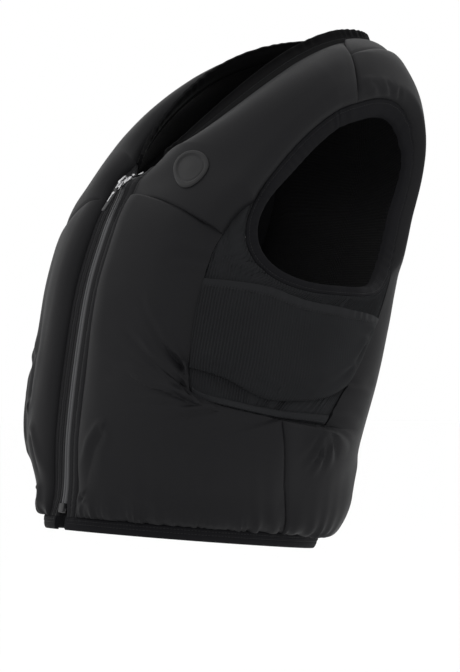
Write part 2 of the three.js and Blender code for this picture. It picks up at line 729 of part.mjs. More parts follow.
function inlayGeometry() {
  const { bead, beadRise, strip, stripLength, thick } = INLAY;
  const dome = [[0, 0], [bead, 0], [0.8 * bead, 0.6 * beadRise], [0, beadRise]];
  const profile = dome.map(([x, y]) => new THREE.Vector2(x, y));
  const rivet = new THREE.LatheGeometry(profile, 12).rotateX(Math.PI / 2);
  const bar = new THREE.ExtrudeGeometry(roundedShape(strip, -stripLength, 0, 0.5), plain(thick));
  return fused(rivet, bar);
}

function addZipPull() {
  const slider = seat(new THREE.Group(), 0, ZIP.sliderUp, SLIDER.lift);
  vest.add(slider);
  addPiece('zip_slider', sliderGeometry(), 'metal', slider);
  const pull = new THREE.Group();
  const barRoom = (BRIDGE.height - BRIDGE.wall) / 2;
  pull.position.set(0, BRIDGE.wall + barRoom - BRIDGE.length / 2, SLIDER.plate + barRoom);
  pull.rotation.x = degToRad(PULL.hang);
  slider.add(pull);
  addPiece('zip_pull_ring', ringGeometry(), 'metal', pull);
  addPiece('zip_pull_tab', tabGeometry(), 'rubber', pull);
  const inlay = addPiece('zip_pull_inlay', inlayGeometry(), 'metal', pull);
  inlay.position.set(0, -PULL.ringLength - 5, TAB.thick / 2 + INLAY.gap);
}

function blockGeometry({ width, height, thick }) {
  return new THREE.ExtrudeGeometry(roundedShape(width, -height / 2, height / 2, 1), plain(thick));
}

function smallSliderGeometry() {
  const { length, width, thick, tabLength, tabWidth, tabThick } = SMALL_SLIDER;
  const body = blockGeometry({ width, height: length, thick });
  const tab = new THREE.ExtrudeGeometry(roundedShape(tabWidth, -tabLength, 0, 1.4), plain(tabThick));
  return fused(body, tab.translate(0, 0, thick - tabThick / 2));
}

function addZipFittings() {
  const box = addPiece('zip_box', blockGeometry(ZIP_BOX), 'rubber');
  seat(box, 0, ZIP.boxUp, ZIP_BOX.lift);
  for (const [word, side] of Object.entries(SIDES)) {
    const stop = addPiece(`zip_stop_${word}`, blockGeometry(ZIP_STOP), 'metal');
    seat(stop, aroundAt(side * ZIP.stopX, ZIP.stopUp), ZIP.stopUp, ZIP_STOP.lift);
  }
  const pocketSlider = addPiece('pocket_zip_slider', smallSliderGeometry(), 'metal');
  seat(pocketSlider, POCKET_SLIDER.around, POCKET_SLIDER.up, POCKET_SLIDER.lift);
  const collarSlider = addPiece('collar_zip_slider', smallSliderGeometry(), 'metal');
  seat(collarSlider, COLLAR_SLIDER.around, COLLAR_SLIDER.up, COLLAR_SLIDER.lift);
  collarSlider.rotateY(Math.PI).rotateZ(-Math.PI / 2);
}

// Chest badge: a plain oval patch that follows the padding under it

function addBadge() {
  const patch = (s, t) => {
    const [u, w] = [2 * s - 1, 2 * t - 1];
    const [x, y] = [u * Math.sqrt(1 - (w * w) / 2), w * Math.sqrt(1 - (u * u) / 2)];
    return pattern(BADGE.around + BADGE.halfAround * x, BADGE.up + BADGE.halfUp * y);
  };
  const foot = PADDING.bolster.full + BADGE.gap;
  const rim = foot + BADGE.thick + BADGE.rim;
  const edges = { left: rim, right: rim, bottom: rim, top: rim };
  const padding = { inner: -foot, full: foot + BADGE.thick, roll: 5, ...edges };
  addPiece('chest_badge', panelGeometry({ patch, columns: 6, rows: 6, padding }), 'rubber');
}

for (const [word, side] of Object.entries(SIDES)) {
  addFront(word, side);
  addSide(word, side);
}
addBack();
addEdges();
addLining();
addPlackets();
addZipPull();
addZipFittings();
addBadge();

export default vest;
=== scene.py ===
import math

import bpy
import numpy as np
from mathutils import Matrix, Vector


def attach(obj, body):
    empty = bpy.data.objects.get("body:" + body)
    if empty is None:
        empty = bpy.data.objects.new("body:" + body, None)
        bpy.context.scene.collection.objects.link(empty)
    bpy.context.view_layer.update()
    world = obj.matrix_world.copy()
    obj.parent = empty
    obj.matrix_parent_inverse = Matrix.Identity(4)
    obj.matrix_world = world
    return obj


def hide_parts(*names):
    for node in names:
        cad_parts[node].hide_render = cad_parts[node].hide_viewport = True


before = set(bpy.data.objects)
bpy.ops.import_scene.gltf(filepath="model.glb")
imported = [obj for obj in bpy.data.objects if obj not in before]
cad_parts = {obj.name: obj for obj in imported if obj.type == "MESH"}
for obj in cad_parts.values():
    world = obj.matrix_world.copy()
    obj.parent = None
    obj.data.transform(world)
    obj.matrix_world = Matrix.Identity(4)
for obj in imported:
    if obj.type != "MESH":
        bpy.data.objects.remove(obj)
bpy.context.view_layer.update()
bpy.ops.object.select_all(action="DESELECT")
print("frame loaded:", len(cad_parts), "nodes")

# camera, round to the wearer's left and a little below
shot = {"azimuth": 57.0, "elevation": -1.6, "distance": 2.4, "target": (0.0, -0.066, -0.262),
        "lens": 115.7, "shiftX": 0.0223, "clipEnd": 50.0}


def addCamera():
    turn, rise = math.radians(shot["azimuth"]), math.radians(shot["elevation"])
    away = Vector((math.sin(turn) * math.cos(rise), -math.cos(turn) * math.cos(rise), math.sin(rise)))
    place = Vector(shot["target"]) + away * shot["distance"]
    bpy.ops.object.camera_add(location=place, rotation=(math.pi / 2 - rise, 0.0, turn))
    camera = bpy.context.object
    camera.data.lens = shot["lens"]
    camera.data.shift_x = shot["shiftX"]
    camera.data.clip_end = shot["clipEnd"]
    bpy.context.scene.camera = camera


addCamera()

# the worn form: rings from the hem up, in millimetres, as in the part's source
ringTable = [  # y, z, tilt, half, front, back, frontPower, backPower, arch
    (-41, -207, -4.8, 143, 152, 140, 2.0, 2.3, 0),
    (-31, -175, -4.2, 156, 156, 146, 2.0, 2.35, 0),
    (-29, -109, -1.4, 192, 155, 141, 2.25, 2.4, 0),
    (-8, -28, -0.6, 196, 166, 144, 2.25, 2.4, 0),
    (12, 51, 0.6, 196, 172, 150, 2.25, 2.4, 0),
    (29, 117, 2.6, 196, 169, 155, 2.2, 2.4, 0),
    (53, 181, 10.0, 188, 176, 156, 1.8, 2.4, 7),
    (61, 235, 22.4, 143, 187, 159, 1.6, 2.3, 32),
    (70, 260, 27.7, 76, 189, 155, 1.75, 2.2, 44),
    (68, 274, 29.5, 64, 184, 154, 1.75, 2.2, 45),
]
# the seat, which becomes the origin, is in millimetres, levels in rings and neckSeam in degrees around
form = {"seatY": 66.0, "seatZ": 262.0, "neckline": 8.0, "bandTop": 9.0, "hemFoot": -0.36, "neckSeam": 121.0,
        "collarSeam": 7.3}
sides = ((1, "left"), (-1, "right"))
ringRows = np.array(ringTable, float)
ringRows = np.vstack([2 * ringRows[0] - ringRows[1], ringRows, 2 * ringRows[-1] - ringRows[-2]])


def ringAt(up):
    up = np.asarray(up, float)
    i = np.clip(np.floor(up), 0, len(ringTable) - 2).astype(int)
    t = (up - i)[..., None]
    a, b, c, d = (ringRows[i + k] for k in range(4))
    return 0.5 * (2 * b + (c - a) * t + (2 * a - 5 * b + 4 * c - d) * t**2 + (3 * b - a - 3 * c + d) * t**3)


def signedPower(x, p):
    return np.sign(x) * np.abs(x) ** p


def formPoint(around, up):
    around, up = np.broadcast_arrays(np.asarray(around, float), np.asarray(up, float))
    y0, z0, tilt, half, front, back, frontPower, backPower, arch = np.moveaxis(ringAt(up), -1, 0)
    angle, tilt = np.radians(around), np.radians(tilt)
    forward = np.cos(angle) > 0
    power = 2 / np.where(forward, frontPower, backPower)
    y = np.where(forward, front, back) * signedPower(-np.cos(angle), power)
    lift = arch * np.sin(angle) ** 2
    x = half * signedPower(np.sin(angle), power)
    y, z = y0 + y * np.cos(tilt) - lift * np.sin(tilt), z0 + y * np.sin(tilt) + lift * np.cos(tilt)
    return np.stack([x, y - form["seatY"], z - form["seatZ"]], -1) / 1000


def unit(v):
    return v / np.maximum(np.linalg.norm(v, axis=-1, keepdims=True), 1e-12)


stepAround, stepUp = 0.2, 0.01  # degrees and rings over which the form's slopes are taken


def formFrame(around, up):
    across = unit(formPoint(around + stepAround, up) - formPoint(around - stepAround, up))
    along = formPoint(around, up + stepUp) - formPoint(around, up - stepUp)
    normal = unit(np.cross(across, along))
    return across, np.cross(normal, across), normal


def aroundAt(x, up):  # the turn at which a ring is x millimetres from the middle
    ring = ringAt(up)
    return np.sign(x) * np.degrees(np.arcsin((np.abs(x) / ring[..., 3]) ** (ring[..., 6] / 2)))


# seam curves in the pattern: degrees around, rings up
upScale = 25.0  # degrees that count as much as one ring when a curve is shared out by length
curveSteps = 60


def through(*rows):
    pts = np.array(rows, float) * (1, upScale)
    pts = np.vstack([pts[0], pts, pts[-1]])
    fine = []
    for k in range(len(pts) - 3):
        a, b, c, d = pts[k : k + 4]
        t = np.linspace(0, 1, curveSteps)[:, None]
        v0, v1 = (c - a) / 2, (d - b) / 2
        fine.append((2 * b - 2 * c + v0 + v1) * t**3 + (-3 * b + 3 * c - 2 * v0 - v1) * t**2 + v0 * t + b)
    fine = np.vstack(fine)
    length = np.concatenate([[0], np.cumsum(np.linalg.norm(np.diff(fine, axis=0), axis=1))])
    share = length / length[-1]
    return lambda t: np.stack([np.interp(t, share, fine[:, k]) for k in (0, 1)], -1) / (1, upScale)


armhole = {"around": 100.0, "up": 5.22, "aroundRadius": 43.5, "upRadius": 1.4, "power": 2.5,
           "binding": 0.905}
armAngle = {"rib": 3.0, "shoulder": 87.0, "back": 213.0}  # where seams meet it, in degrees round its oval


def armholeArc(start, end, share=1.0):
    def arc(t):
        angle = np.radians(start + (end - start) * np.asarray(t, float))
        power = 2 / armhole["power"]
        around = armhole["around"] - share * armhole["aroundRadius"] * signedPower(np.cos(angle), power)
        up = armhole["up"] + share * armhole["upRadius"] * signedPower(np.sin(angle), power)
        return np.stack([around, up], -1)

    return arc


def straight(a, b):
    a, b = np.array(a, float), np.array(b, float)
    return lambda t: a + (b - a) * np.asarray(t, float)[..., None]


def beside(x, low, high):
    def line(t):
        up = low + (high - low) * np.asarray(t, float)
        return np.stack([aroundAt(np.full_like(up, x), up), up], -1)

    return line


def joined(*parts):  # curves end to end, each with its share of the grid
    total = sum(steps for _, steps in parts)

    def whole(t):
        left = np.asarray(t, float) * total
        out = np.zeros(left.shape + (2,))
        start = 0
        for k, (curve, steps) in enumerate(parts):
            end = np.inf if k == len(parts) - 1 else start + steps
            here = (left >= start) & (left < end)
            out[here] = curve((left[here] - start) / steps)
            start += steps
        return out

    return whole


def backwards(curve):
    return lambda t: curve(1 - np.asarray(t, float))


def acrossBack(p):
    return np.stack([360 - p[..., 0], p[..., 1]], -1)


def mirrored(curve):
    return lambda t: acrossBack(curve(t))


seams = {
    "yoke": through((9.45, 5.8), (18, 5.61), (28, 5.35), (42, 4.98), (49.7, 4.78)),
    "ribFront": through((49, 2.55), (47.2, 2.88), (46.6, 3.35), (46.8, 3.88), (48, 4.5), (49.7, 4.78)),
    "ribTop": through((49.7, 4.78), (52.6, 5.12), (56.55, 5.35)),
    "ribBottom": through((83.4, 2.23), (66.4, 2.35), (53, 2.43), (49, 2.55)),
    "side": through((99.8, 0), (92.7, 1), (88, 1.65), (83.4, 2.23)),
    "sideCorner": through((83.4, 2.23), (101, 2.16)),
    "backEdge": through((101, 2.16), (105.4, 2.5), (114, 2.95), (124, 3.5), (137.8, 4.36)),
    "shoulder": through((95.9, 6.62), (99.5, 6.89), (106.3, 7.28)),
    "shoulderTop": through((106.3, 7.28), (113, 7.64), (form["neckSeam"], form["neckline"])),
    "collarBack": through((106.3, 7.28), (130, 7.33), (180, form["collarSeam"])),
    "pouchFoot": through(
        (47.5, 2.86), (56, 2.78), (62.5, 2.7), (70, 2.57), (77.5, 2.48), (88, 2.47), (98, 2.53),
        (108.2, 2.68)),
    "pouchTop": through(
        (47.2, 4.05), (58, 4), (70, 3.92), (84, 3.74), (100, 3.64), (112, 3.6), (124.6, 3.55)),
    "pouchFront": through((47.5, 2.86), (46.8, 3.3), (46.8, 3.62), (47.2, 4.05)),
    "pouchBack": through((108.2, 2.68), (113.6, 2.95), (119, 3.25), (124.6, 3.55)),
}
# millimetres from the middle, and the rings below which the two halves part by the spread
placket = {"inner": 5.0, "outer": 28.0, "spread": 6.0, "spreadUp": 0.8}
yokeUp = 5.8


def coons(bottom, top, left, right, ease=1):
    def patch(s, t):
        s, t = np.broadcast_arrays(np.asarray(s, float), np.asarray(t, float))
        high = (t**ease)[..., None]
        low, a, b = 1 - high, (1 - s)[..., None], s[..., None]
        p = bottom(s) * low + top(s) * high + left(t) * a + right(t) * b
        p = p - bottom(np.zeros(1)) * a * low - bottom(np.ones(1)) * b * low
        return p - top(np.zeros(1)) * a * high - top(np.ones(1)) * b * high

    return patch


neckFront = float(aroundAt(placket["outer"], form["neckline"]))
# rings by which the open neck is pulled down on each side
neckWorn = {"left": 0.3, "right": 0.05, "power": 0.6}


def neckDip(around, deep):  # nothing at the zip and at the shoulder seam
    share = np.clip((around - neckFront) / (form["neckSeam"] - neckFront), 0, 1)
    return deep * np.sin(np.pi * share ** neckWorn["power"])


def neckLine(deep):
    def line(t):
        around = neckFront + (form["neckSeam"] - neckFront) * np.asarray(t, float)
        return np.stack([around, form["neckline"] - neckDip(around, deep)], -1)

    return line


sideFoot = tuple(seams["side"](np.zeros(1))[0])
backSide = joined((seams["side"], 5), (seams["sideCorner"], 2), (seams["backEdge"], 8),
                  (armholeArc(armAngle["back"], armAngle["shoulder"]), 9))
backTop = joined((seams["shoulder"], 3), (seams["collarBack"], 7))
backMiddle = straight((180, 0), (180, form["collarSeam"]))
backHalf = coons(straight(sideFoot, (180, 0)), backTop, backSide, backMiddle, ease=4)


def backPatch(s, t):
    s, t = np.broadcast_arrays(np.asarray(s, float), np.asarray(t, float))
    p = backHalf(np.where(s <= 0.5, 2 * s, 2 - 2 * s), t)
    return np.where((s <= 0.5)[..., None], p, acrossBack(p))


def bolsterPatch(deep):
    return coons(
        seams["yoke"], backwards(joined((seams["shoulder"], 1), (seams["shoulderTop"], 1))),
        joined((beside(placket["outer"], yokeUp, form["neckline"]), 3), (neckLine(deep), 11)),
        joined((seams["ribTop"], 2), (armholeArc(armAngle["rib"], armAngle["shoulder"]), 11)))


patches = {
    "front": coons(
        straight((float(aroundAt(placket["outer"], 0.0)), 0), sideFoot), seams["yoke"],
        beside(placket["outer"], 0, yokeUp),
        joined((seams["side"], 5), (seams["ribBottom"], 10), (seams["ribFront"], 6))),
    "bolster_left": bolsterPatch(neckWorn["left"]), "bolster_right": bolsterPatch(neckWorn["right"]),
    "back": backPatch,
    "collar": coons(
        joined((seams["collarBack"], 1), (mirrored(backwards(seams["collarBack"])), 1)),
        straight((form["neckSeam"], form["neckline"]), (360 - form["neckSeam"], form["neckline"])),
        seams["shoulderTop"], mirrored(seams["shoulderTop"])),
    "rib": coons(
        joined((backwards(seams["ribBottom"]), 10), (seams["sideCorner"], 2)),
        armholeArc(armAngle["rib"], armAngle["back"] - 360),
        joined((seams["ribFront"], 6), (seams["ribTop"], 2)), seams["backEdge"]),
    "pouch": coons(seams["pouchFoot"], seams["pouchTop"], seams["pouchFront"], seams["pouchBack"]),
}

# noise and folds
noiseWaves = {"count": 14, "slowest": 0.6, "fastest": 1.5}


def softNoise(points, size, seed):  # a smooth value of about -1 to 1 that changes over this size, in metres
    rng = np.random.default_rng(seed)
    total = np.zeros(points.shape[:-1])
    for _ in range(noiseWaves["count"]):
        wave = unit(rng.normal(size=3)) * rng.uniform(noiseWaves["slowest"], noiseWaves["fastest"]) / size
        total += np.sin(2 * np.pi * points @ wave + rng.uniform(0, 2 * np.pi))
    return total / math.sqrt(noiseWaves["count"])


# waves that shift and weaken a row of gathers, with lengths in gathers
gatherWaves = {"shift": ((1.4, 4.3), (0.9, 9.1)), "strong": 0.62, "swing": 0.38, "swingOver": 6.7}


def ripple(along, pitch, seed):  # uneven gathers along a seam, about -1 to 1
    rng = np.random.default_rng(seed)
    starts = rng.uniform(0, 2 * np.pi, 3)
    turns = 2 * np.pi * along / pitch
    shifts = zip(gatherWaves["shift"], starts)
    shift = sum(size * np.sin(turns / over + start) for (size, over), start in shifts)
    swing = np.sin(turns / gatherWaves["swingOver"] + starts[2])
    return np.sin(turns + shift) * (gatherWaves["strong"] + gatherWaves["swing"] * swing)


# a fold is a crisp valley that wanders a little and narrows to its end, with a fuller ridge on one side
foldShape = {"wander": 0.0016, "wanderSize": 0.045, "seeds": (91, 92, 93), "startWide": 1.25, "narrows": 0.5,
             "valley": 1.8, "ridge": 0.6, "lean": 0.3, "ridgeAt": 1.5, "ridgeSharp": 1.3,
             "startDeep": 0.01, "deepens": 0.57, "fade": 1.1}


def foldLift(grid, folds):  # folds are placed on the left half, and the right half is mirrored onto it
    left = np.where(grid["point"][..., :1] < 0, -1, 1) * (1, 0, 0) + (0, 1, 1)
    near, normal = grid["point"] * left, grid["normal"] * left
    wander = [softNoise(grid["point"], foldShape["wanderSize"], seed) for seed in foldShape["seeds"]]
    near = near + foldShape["wander"] * np.stack(wander, -1)
    lift = np.zeros(near.shape[:-1])
    for start, end, wide, deep in folds:
        a, way = formPoint(*start), formPoint(*end) - formPoint(*start)
        share = np.clip(((near - a) @ way) / (way @ way), 0, 1)
        off = near - a - share[..., None] * way
        width = wide * (foldShape["startWide"] - foldShape["narrows"] * share)
        reach = np.linalg.norm(off, axis=-1) / width
        over = np.sign((off * np.cross(normal, way)).sum(-1))
        taper = np.sin(np.pi * (foldShape["startDeep"] + foldShape["deepens"] * share)) ** foldShape["fade"]
        ridge = np.exp(-((reach - foldShape["ridgeAt"]) ** 2) * foldShape["ridgeSharp"])
        ridge = (foldShape["ridge"] + foldShape["lean"] * over) * ridge
        lift += deep * taper * (ridge - np.exp(-foldShape["valley"] * reach))
    return lift


def smoothStep(x, low, high):
    t = np.clip((np.asarray(x, float) - low) / (high - low), 0, 1)
    return t * t * (3 - 2 * t)


def groove(reach, wide):
    return np.exp(-((reach / wide) ** 2))


def rolled(reach, roll):
    return np.sqrt(1 - (1 - np.minimum(reach / roll, 1)) ** 2)


edgeBlend = 0.04  # share of an edge over which its height and roll change


def edgeAt(edge, share):  # height and roll along an edge, which change at each share given
    height, roll = edge[0][1:]
    for start, nextHeight, nextRoll in edge[1:]:
        blend = smoothStep(share, start - edgeBlend, start + edgeBlend)
        height, roll = height + (nextHeight - height) * blend, roll + (nextRoll - roll) * blend
    return height, roll


softFrom, softTo = 30, 60  # millimetres of roll between a fall in a quarter circle and a soft slope


def padLift(grid, pad):  # the table is in millimetres, the lift in metres
    lift = np.full(grid["s"].shape, float(pad["full"]))
    for name in ("left", "right", "bottom", "top"):
        share = grid["t"] if name in ("left", "right") else grid["s"]
        edge = pad[name]
        height, roll = edgeAt(edge, share) if isinstance(edge, list) else (edge, pad["roll"])
        soft = smoothStep(roll, softFrom, softTo)
        reach = grid[name] * 1000
        slope = np.sin(np.pi / 2 * np.minimum(reach / roll, 1))
        fall = (1 - soft) * rolled(reach, roll) + soft * slope
        lift = lift * (1 - (1 - height / pad["full"]) * (1 - fall))
    return lift / 1000


# grids of cloth on the form, with close lines beside each edge so that seams stay crisp, in metres
closeLines = (0.0006, 0.0013, 0.0022)
lengthSteps = 80
smoothBelow = 60  # degrees between two faces of cloth


def gridShares(length, cell, overlap):
    close = np.array(closeLines) / length
    even = np.linspace(0, 1, max(4, round(length / cell)) + 1)
    shares = np.unique(np.concatenate([even, close, 1 - close]))
    shares[0] -= overlap / length
    shares[-1] += overlap / length
    return shares


def pieceGrid(patch, cells, side=1, closed=False, overlap=0.0002):
    mid = np.linspace(0, 1, lengthSteps)
    halfWay = np.full(lengthSteps, 0.5)
    width, height = (
        np.linalg.norm(np.diff(formPoint(*np.moveaxis(line, -1, 0)), axis=0), axis=1).sum()
        for line in (patch(mid, halfWay), patch(halfWay, mid)))
    if closed:
        s = np.linspace(0, 1, round(width / cells[0]) + 1)[:-1]
    else:
        s = gridShares(width, cells[0], overlap)
    s, t = np.meshgrid(s, gridShares(height, cells[1], overlap))
    inS, inT = np.clip(s, 0, 1), np.clip(t, 0, 1)
    p = patch(inS, inT)
    around, up = side * p[..., 0], p[..., 1]
    across, along, normal = formFrame(around, up)
    past = across * side * ((s - inS) * width)[..., None]  # the little that reaches past the seams
    point = formPoint(around, up) + past + along * ((t - inT) * height)[..., None]
    far = np.full(s.shape, 1.0)
    return {
        "s": inS, "t": inT, "around": around, "up": up, "side": side, "point": point, "normal": normal,
        "width": width, "height": height, "closed": closed,
        "left": far if closed else inS * width, "right": far if closed else (1 - inS) * width,
        "bottom": inT * height, "top": (1 - inT) * height,
    }


def newObject(name, verts, faces, uv=None):
    mesh = bpy.data.meshes.new(name)
    mesh.from_pydata(np.asarray(verts).tolist(), [], faces)
    if uv is not None:
        layer = mesh.uv_layers.new(name="cloth")
        loops = np.zeros(len(mesh.loops), int)
        mesh.loops.foreach_get("vertex_index", loops)
        layer.data.foreach_set("uv", np.asarray(uv, float)[loops].ravel())
    mesh.validate()
    mesh.update()
    obj = bpy.data.objects.new(name, mesh)
    bpy.context.scene.collection.objects.link(obj)
    return obj


def makeActive(obj):
    bpy.ops.object.select_all(action="DESELECT")
    obj.select_set(True)
    bpy.context.view_layer.objects.active = obj


def smoothByAngle(obj, degrees):
    makeActive(obj)
    bpy.ops.object.shade_smooth_by_angle(angle=math.radians(degrees))
    obj.select_set(False)


def applyModifier(obj, kind, **values):
    makeActive(obj)
    modifier = obj.modifiers.new(kind.lower(), kind)
    for key, value in values.items():
        setattr(modifier, key, value)
    bpy.ops.object.modifier_apply(modifier=modifier.name)
    obj.select_set(False)


def shellPiece(name, grid, outerLift, inner):  # outer face, inner face and the rim between them
    rows, wide = grid["s"].shape[0] - 1, grid["s"].shape[1]
    outer = grid["point"] + grid["normal"] * outerLift[..., None]
    under = grid["point"] - grid["normal"] * np.broadcast_to(inner, outerLift.shape)[..., None]
    count = grid["s"].size
    index = np.arange(count).reshape(rows + 1, wide)
    if grid["closed"]:
        index = np.hstack([index, index[:, :1]])
    a, b, c, d = index[:-1, :-1], index[:-1, 1:], index[1:, 1:], index[1:, :-1]
    top = np.stack([a, b, c, d], -1).reshape(-1, 4)
    low = np.stack([a, d, c, b], -1).reshape(-1, 4) + count
    edges = [(index[0, :-1], index[0, 1:], 1), (index[-1, :-1], index[-1, 1:], -1)]
    if not grid["closed"]:
        edges += [(index[:-1, 0], index[1:, 0], -1), (index[:-1, -1], index[1:, -1], 1)]
    rim = []
    for p, q, turn in edges:
        wall = np.stack([p, p + count, q + count, q], -1)
        rim.append(wall if turn > 0 else wall[:, ::-1])
    faces = np.vstack([top, low, *rim])
    if grid["side"] < 0:
        faces = faces[:, ::-1]
    uv = np.stack([grid["s"] * grid["width"], grid["t"] * grid["height"]], -1).reshape(-1, 2)
    verts = np.vstack([outer.reshape(-1, 3), under.reshape(-1, 3)])
    obj = newObject(name, verts, faces.tolist(), np.vstack([uv, uv]))
    smoothByAngle(obj, smoothBelow)
    grid["outer"], grid["lift"], grid["insideFaces"] = outer, outerLift, (len(top), 2 * len(top))
    return obj


def settle(obj, nodes, material, body="vest"):
    obj.data.materials.clear()
    obj.data.materials.append(material)
    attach(obj, body)
    if nodes:
        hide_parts(*([nodes] if isinstance(nodes, str) else nodes))
    return obj


def lineInside(obj, grid, material):  # the inner face of a panel in a second finish
    first, last = grid["insideFaces"]
    obj.data.materials.append(material)
    which = np.zeros(len(obj.data.polygons), np.int32)
    which[first:last] = 1
    obj.data.polygons.foreach_set("material_index", which)


def clothArea(grid):  # area of the piece on the form, in square metres
    p = grid["point"]
    cross = np.cross(p[1:, 1:] - p[:-1, :-1], p[:-1, 1:] - p[1:, :-1])
    return float(np.linalg.norm(cross, axis=-1).sum() / 2)


leastArea = 0.75  # share of its flat size that a sheet covers at least


def declareSheet(grid, turnIn=0.0):  # turnIn is cloth folded under along the edges; the sheet's area is worked out here and not kept
    wide, long = grid["height"] + turnIn, grid["width"]
    area = min(wide * long, max(clothArea(grid), leastArea * wide * long))


print("form ready")

# materials: patterns are mixed by the weights in each recipe, and their sizes are in metres


class Sock:
    def __init__(self, paint, socket):
        self.paint, self.socket = paint, socket

    def mathWith(self, operation, other):
        return self.paint.node("ShaderNodeMath", {"operation": operation}, {0: self, 1: other})

    def __add__(self, other):
        return self.mathWith("ADD", other)

    def __sub__(self, other):
        return self.mathWith("SUBTRACT", other)

    def __mul__(self, other):
        return self.mathWith("MULTIPLY", other)

    __radd__ = __add__


waveRate = 20.0  # radians to a unit of length in Blender's wave pattern at scale 1


class Paint:
    def __init__(self, name, **surface):
        self.material = bpy.data.materials.new(name)
        self.material.use_nodes = True
        self.tree = self.material.node_tree
        self.shader = next(n for n in self.tree.nodes if n.type == "BSDF_PRINCIPLED")
        for key, value in surface.items():
            self.shader.inputs[key].default_value = value

    def node(self, kind, settings=None, inputs=None, out=0):
        made = self.tree.nodes.new(kind)
        for key, value in (settings or {}).items():
            setattr(made, key, value)
        for key, value in (inputs or {}).items():
            if isinstance(value, Sock):
                self.tree.links.new(value.socket, made.inputs[key])
            else:
                made.inputs[key].default_value = value
        return Sock(self, made.outputs[out])

    def place(self, scale, uv=False):
        if uv:
            spot = self.node("ShaderNodeUVMap", {"uv_map": "cloth"})
        else:
            spot = self.node("ShaderNodeTexCoord", out="Object")
        return self.node("ShaderNodeMapping", None, {"Vector": spot, "Scale": scale})

    def noise(self, size, detail=3.0, stretch=(1, 1, 1)):
        return self.node("ShaderNodeTexNoise", None, {
            "Vector": self.place(tuple(v / size for v in stretch)), "Scale": 1.0, "Detail": detail})

    def bands(self, direction, pitch):  # even bands across the cloth
        spot = {"Vector": self.place((1, 1, 1), True), "Scale": 2 * math.pi / (waveRate * pitch)}
        return self.node("ShaderNodeTexWave", {"bands_direction": direction}, spot)

    def tones(self, mask, dark, light):  # the mix node's sockets 6 and 7 are its two colours
        inputs = {0: mask, 6: (*dark, 1), 7: (*light, 1)}
        return self.node("ShaderNodeMix", {"data_type": "RGBA"}, inputs, out=2)

    def feed(self, **links):
        for key, sock in links.items():
            self.tree.links.new(sock.socket, self.shader.inputs[key.replace("_", " ")])

    def bump(self, height, strength, distance):
        inputs = {"Height": height, "Strength": strength, "Distance": distance}
        return self.node("ShaderNodeBump", None, inputs)


def clothSurface(finish):
    return {"Sheen Weight": finish["sheen"], "Sheen Roughness": finish["sheenRough"],
            "Specular IOR Level": finish["gloss"]}


def toned(finish, tone):  # a finish's two colours, darker or lighter
    return (tuple(tone * v for v in finish[key]) for key in ("dark", "light"))


softshell = {"dark": (0.0068, 0.0068, 0.0076), "light": (0.0116, 0.0116, 0.0128), "rough": 0.54,
             "gloss": 0.09, "sheen": 0.008, "sheenRough": 0.4, "cloud": 0.07, "grain": 0.0016,
             "thread": 0.0005, "relief": 0.0003}


def softshellPaint():
    paint = Paint("softshell", **clothSurface(softshell))
    cloud = paint.noise(softshell["cloud"], 4.0)
    grain = paint.noise(softshell["grain"], 2.0)
    thread = paint.noise(softshell["thread"], 1.0)
    mask = cloud * 0.55 + grain * 0.3 + thread * 0.15
    paint.feed(Base_Color=paint.tones(mask, softshell["dark"], softshell["light"]))
    paint.feed(Roughness=softshell["rough"] + (cloud - 0.5) * 0.2 + (grain - 0.5) * 0.12)
    paint.feed(Normal=paint.bump(grain * 0.5 + thread * 0.5, 0.3, softshell["relief"]))
    return paint.material


knit = {"dark": (0.0080, 0.0083, 0.0091), "light": (0.0185, 0.0191, 0.0207), "rough": 0.7, "gloss": 0.07,
        "sheen": 0.01, "sheenRough": 0.5, "loop": 0.0011, "fuzz": 0.0012, "cloud": 0.045, "relief": 0.0004}


def knitPaint(name, tone):
    paint = Paint(name, **clothSurface(knit))
    loops = paint.bands("Y", knit["loop"])
    fuzz, cloud = paint.noise(knit["fuzz"]), paint.noise(knit["cloud"], 2.0)
    paint.feed(Base_Color=paint.tones(fuzz * 0.5 + loops * 0.25 + cloud * 0.25, *toned(knit, tone)))
    paint.feed(Roughness=knit["rough"] + (fuzz - 0.5) * 0.25)
    paint.feed(Normal=paint.bump(loops * 0.5 + fuzz * 0.5, 0.45, knit["relief"]))
    return paint.material


tape = {"dark": (0.0042, 0.0042, 0.005), "light": (0.0092, 0.0092, 0.0106), "rough": 0.74, "gloss": 0.05,
        "sheen": 0.008, "sheenRough": 0.5, "cord": 0.0009, "fuzz": 0.0014, "cloud": 0.03, "relief": 0.0004}


def tapePaint(name, tone):
    paint = Paint(name, **clothSurface(tape))
    cords = paint.bands("X", tape["cord"])
    fuzz, cloud = paint.noise(tape["fuzz"]), paint.noise(tape["cloud"], 2.0)
    paint.feed(Base_Color=paint.tones(fuzz * 0.45 + cords * 0.3 + cloud * 0.25, *toned(tape, tone)))
    paint.feed(Roughness=tape["rough"] + (fuzz - 0.5) * 0.2)
    paint.feed(Normal=paint.bump(cords * 0.6 + fuzz * 0.4, 0.4, tape["relief"]))
    return paint.material


# spacer mesh: its near-black tones are partly the mesh's own black and partly painted shade, darkened for
# the shaded inside of the neck, the armholes and the panels
airMesh = {"dark": (0.0002, 0.0002, 0.0003), "light": (0.0042, 0.0042, 0.0048), "rough": 0.45, "gloss": 0.04,
           "holes": 480.0, "stretch": (1, 0.72, 1), "uneven": 0.15, "strand": (0.22, 0.44), "relief": 0.001}


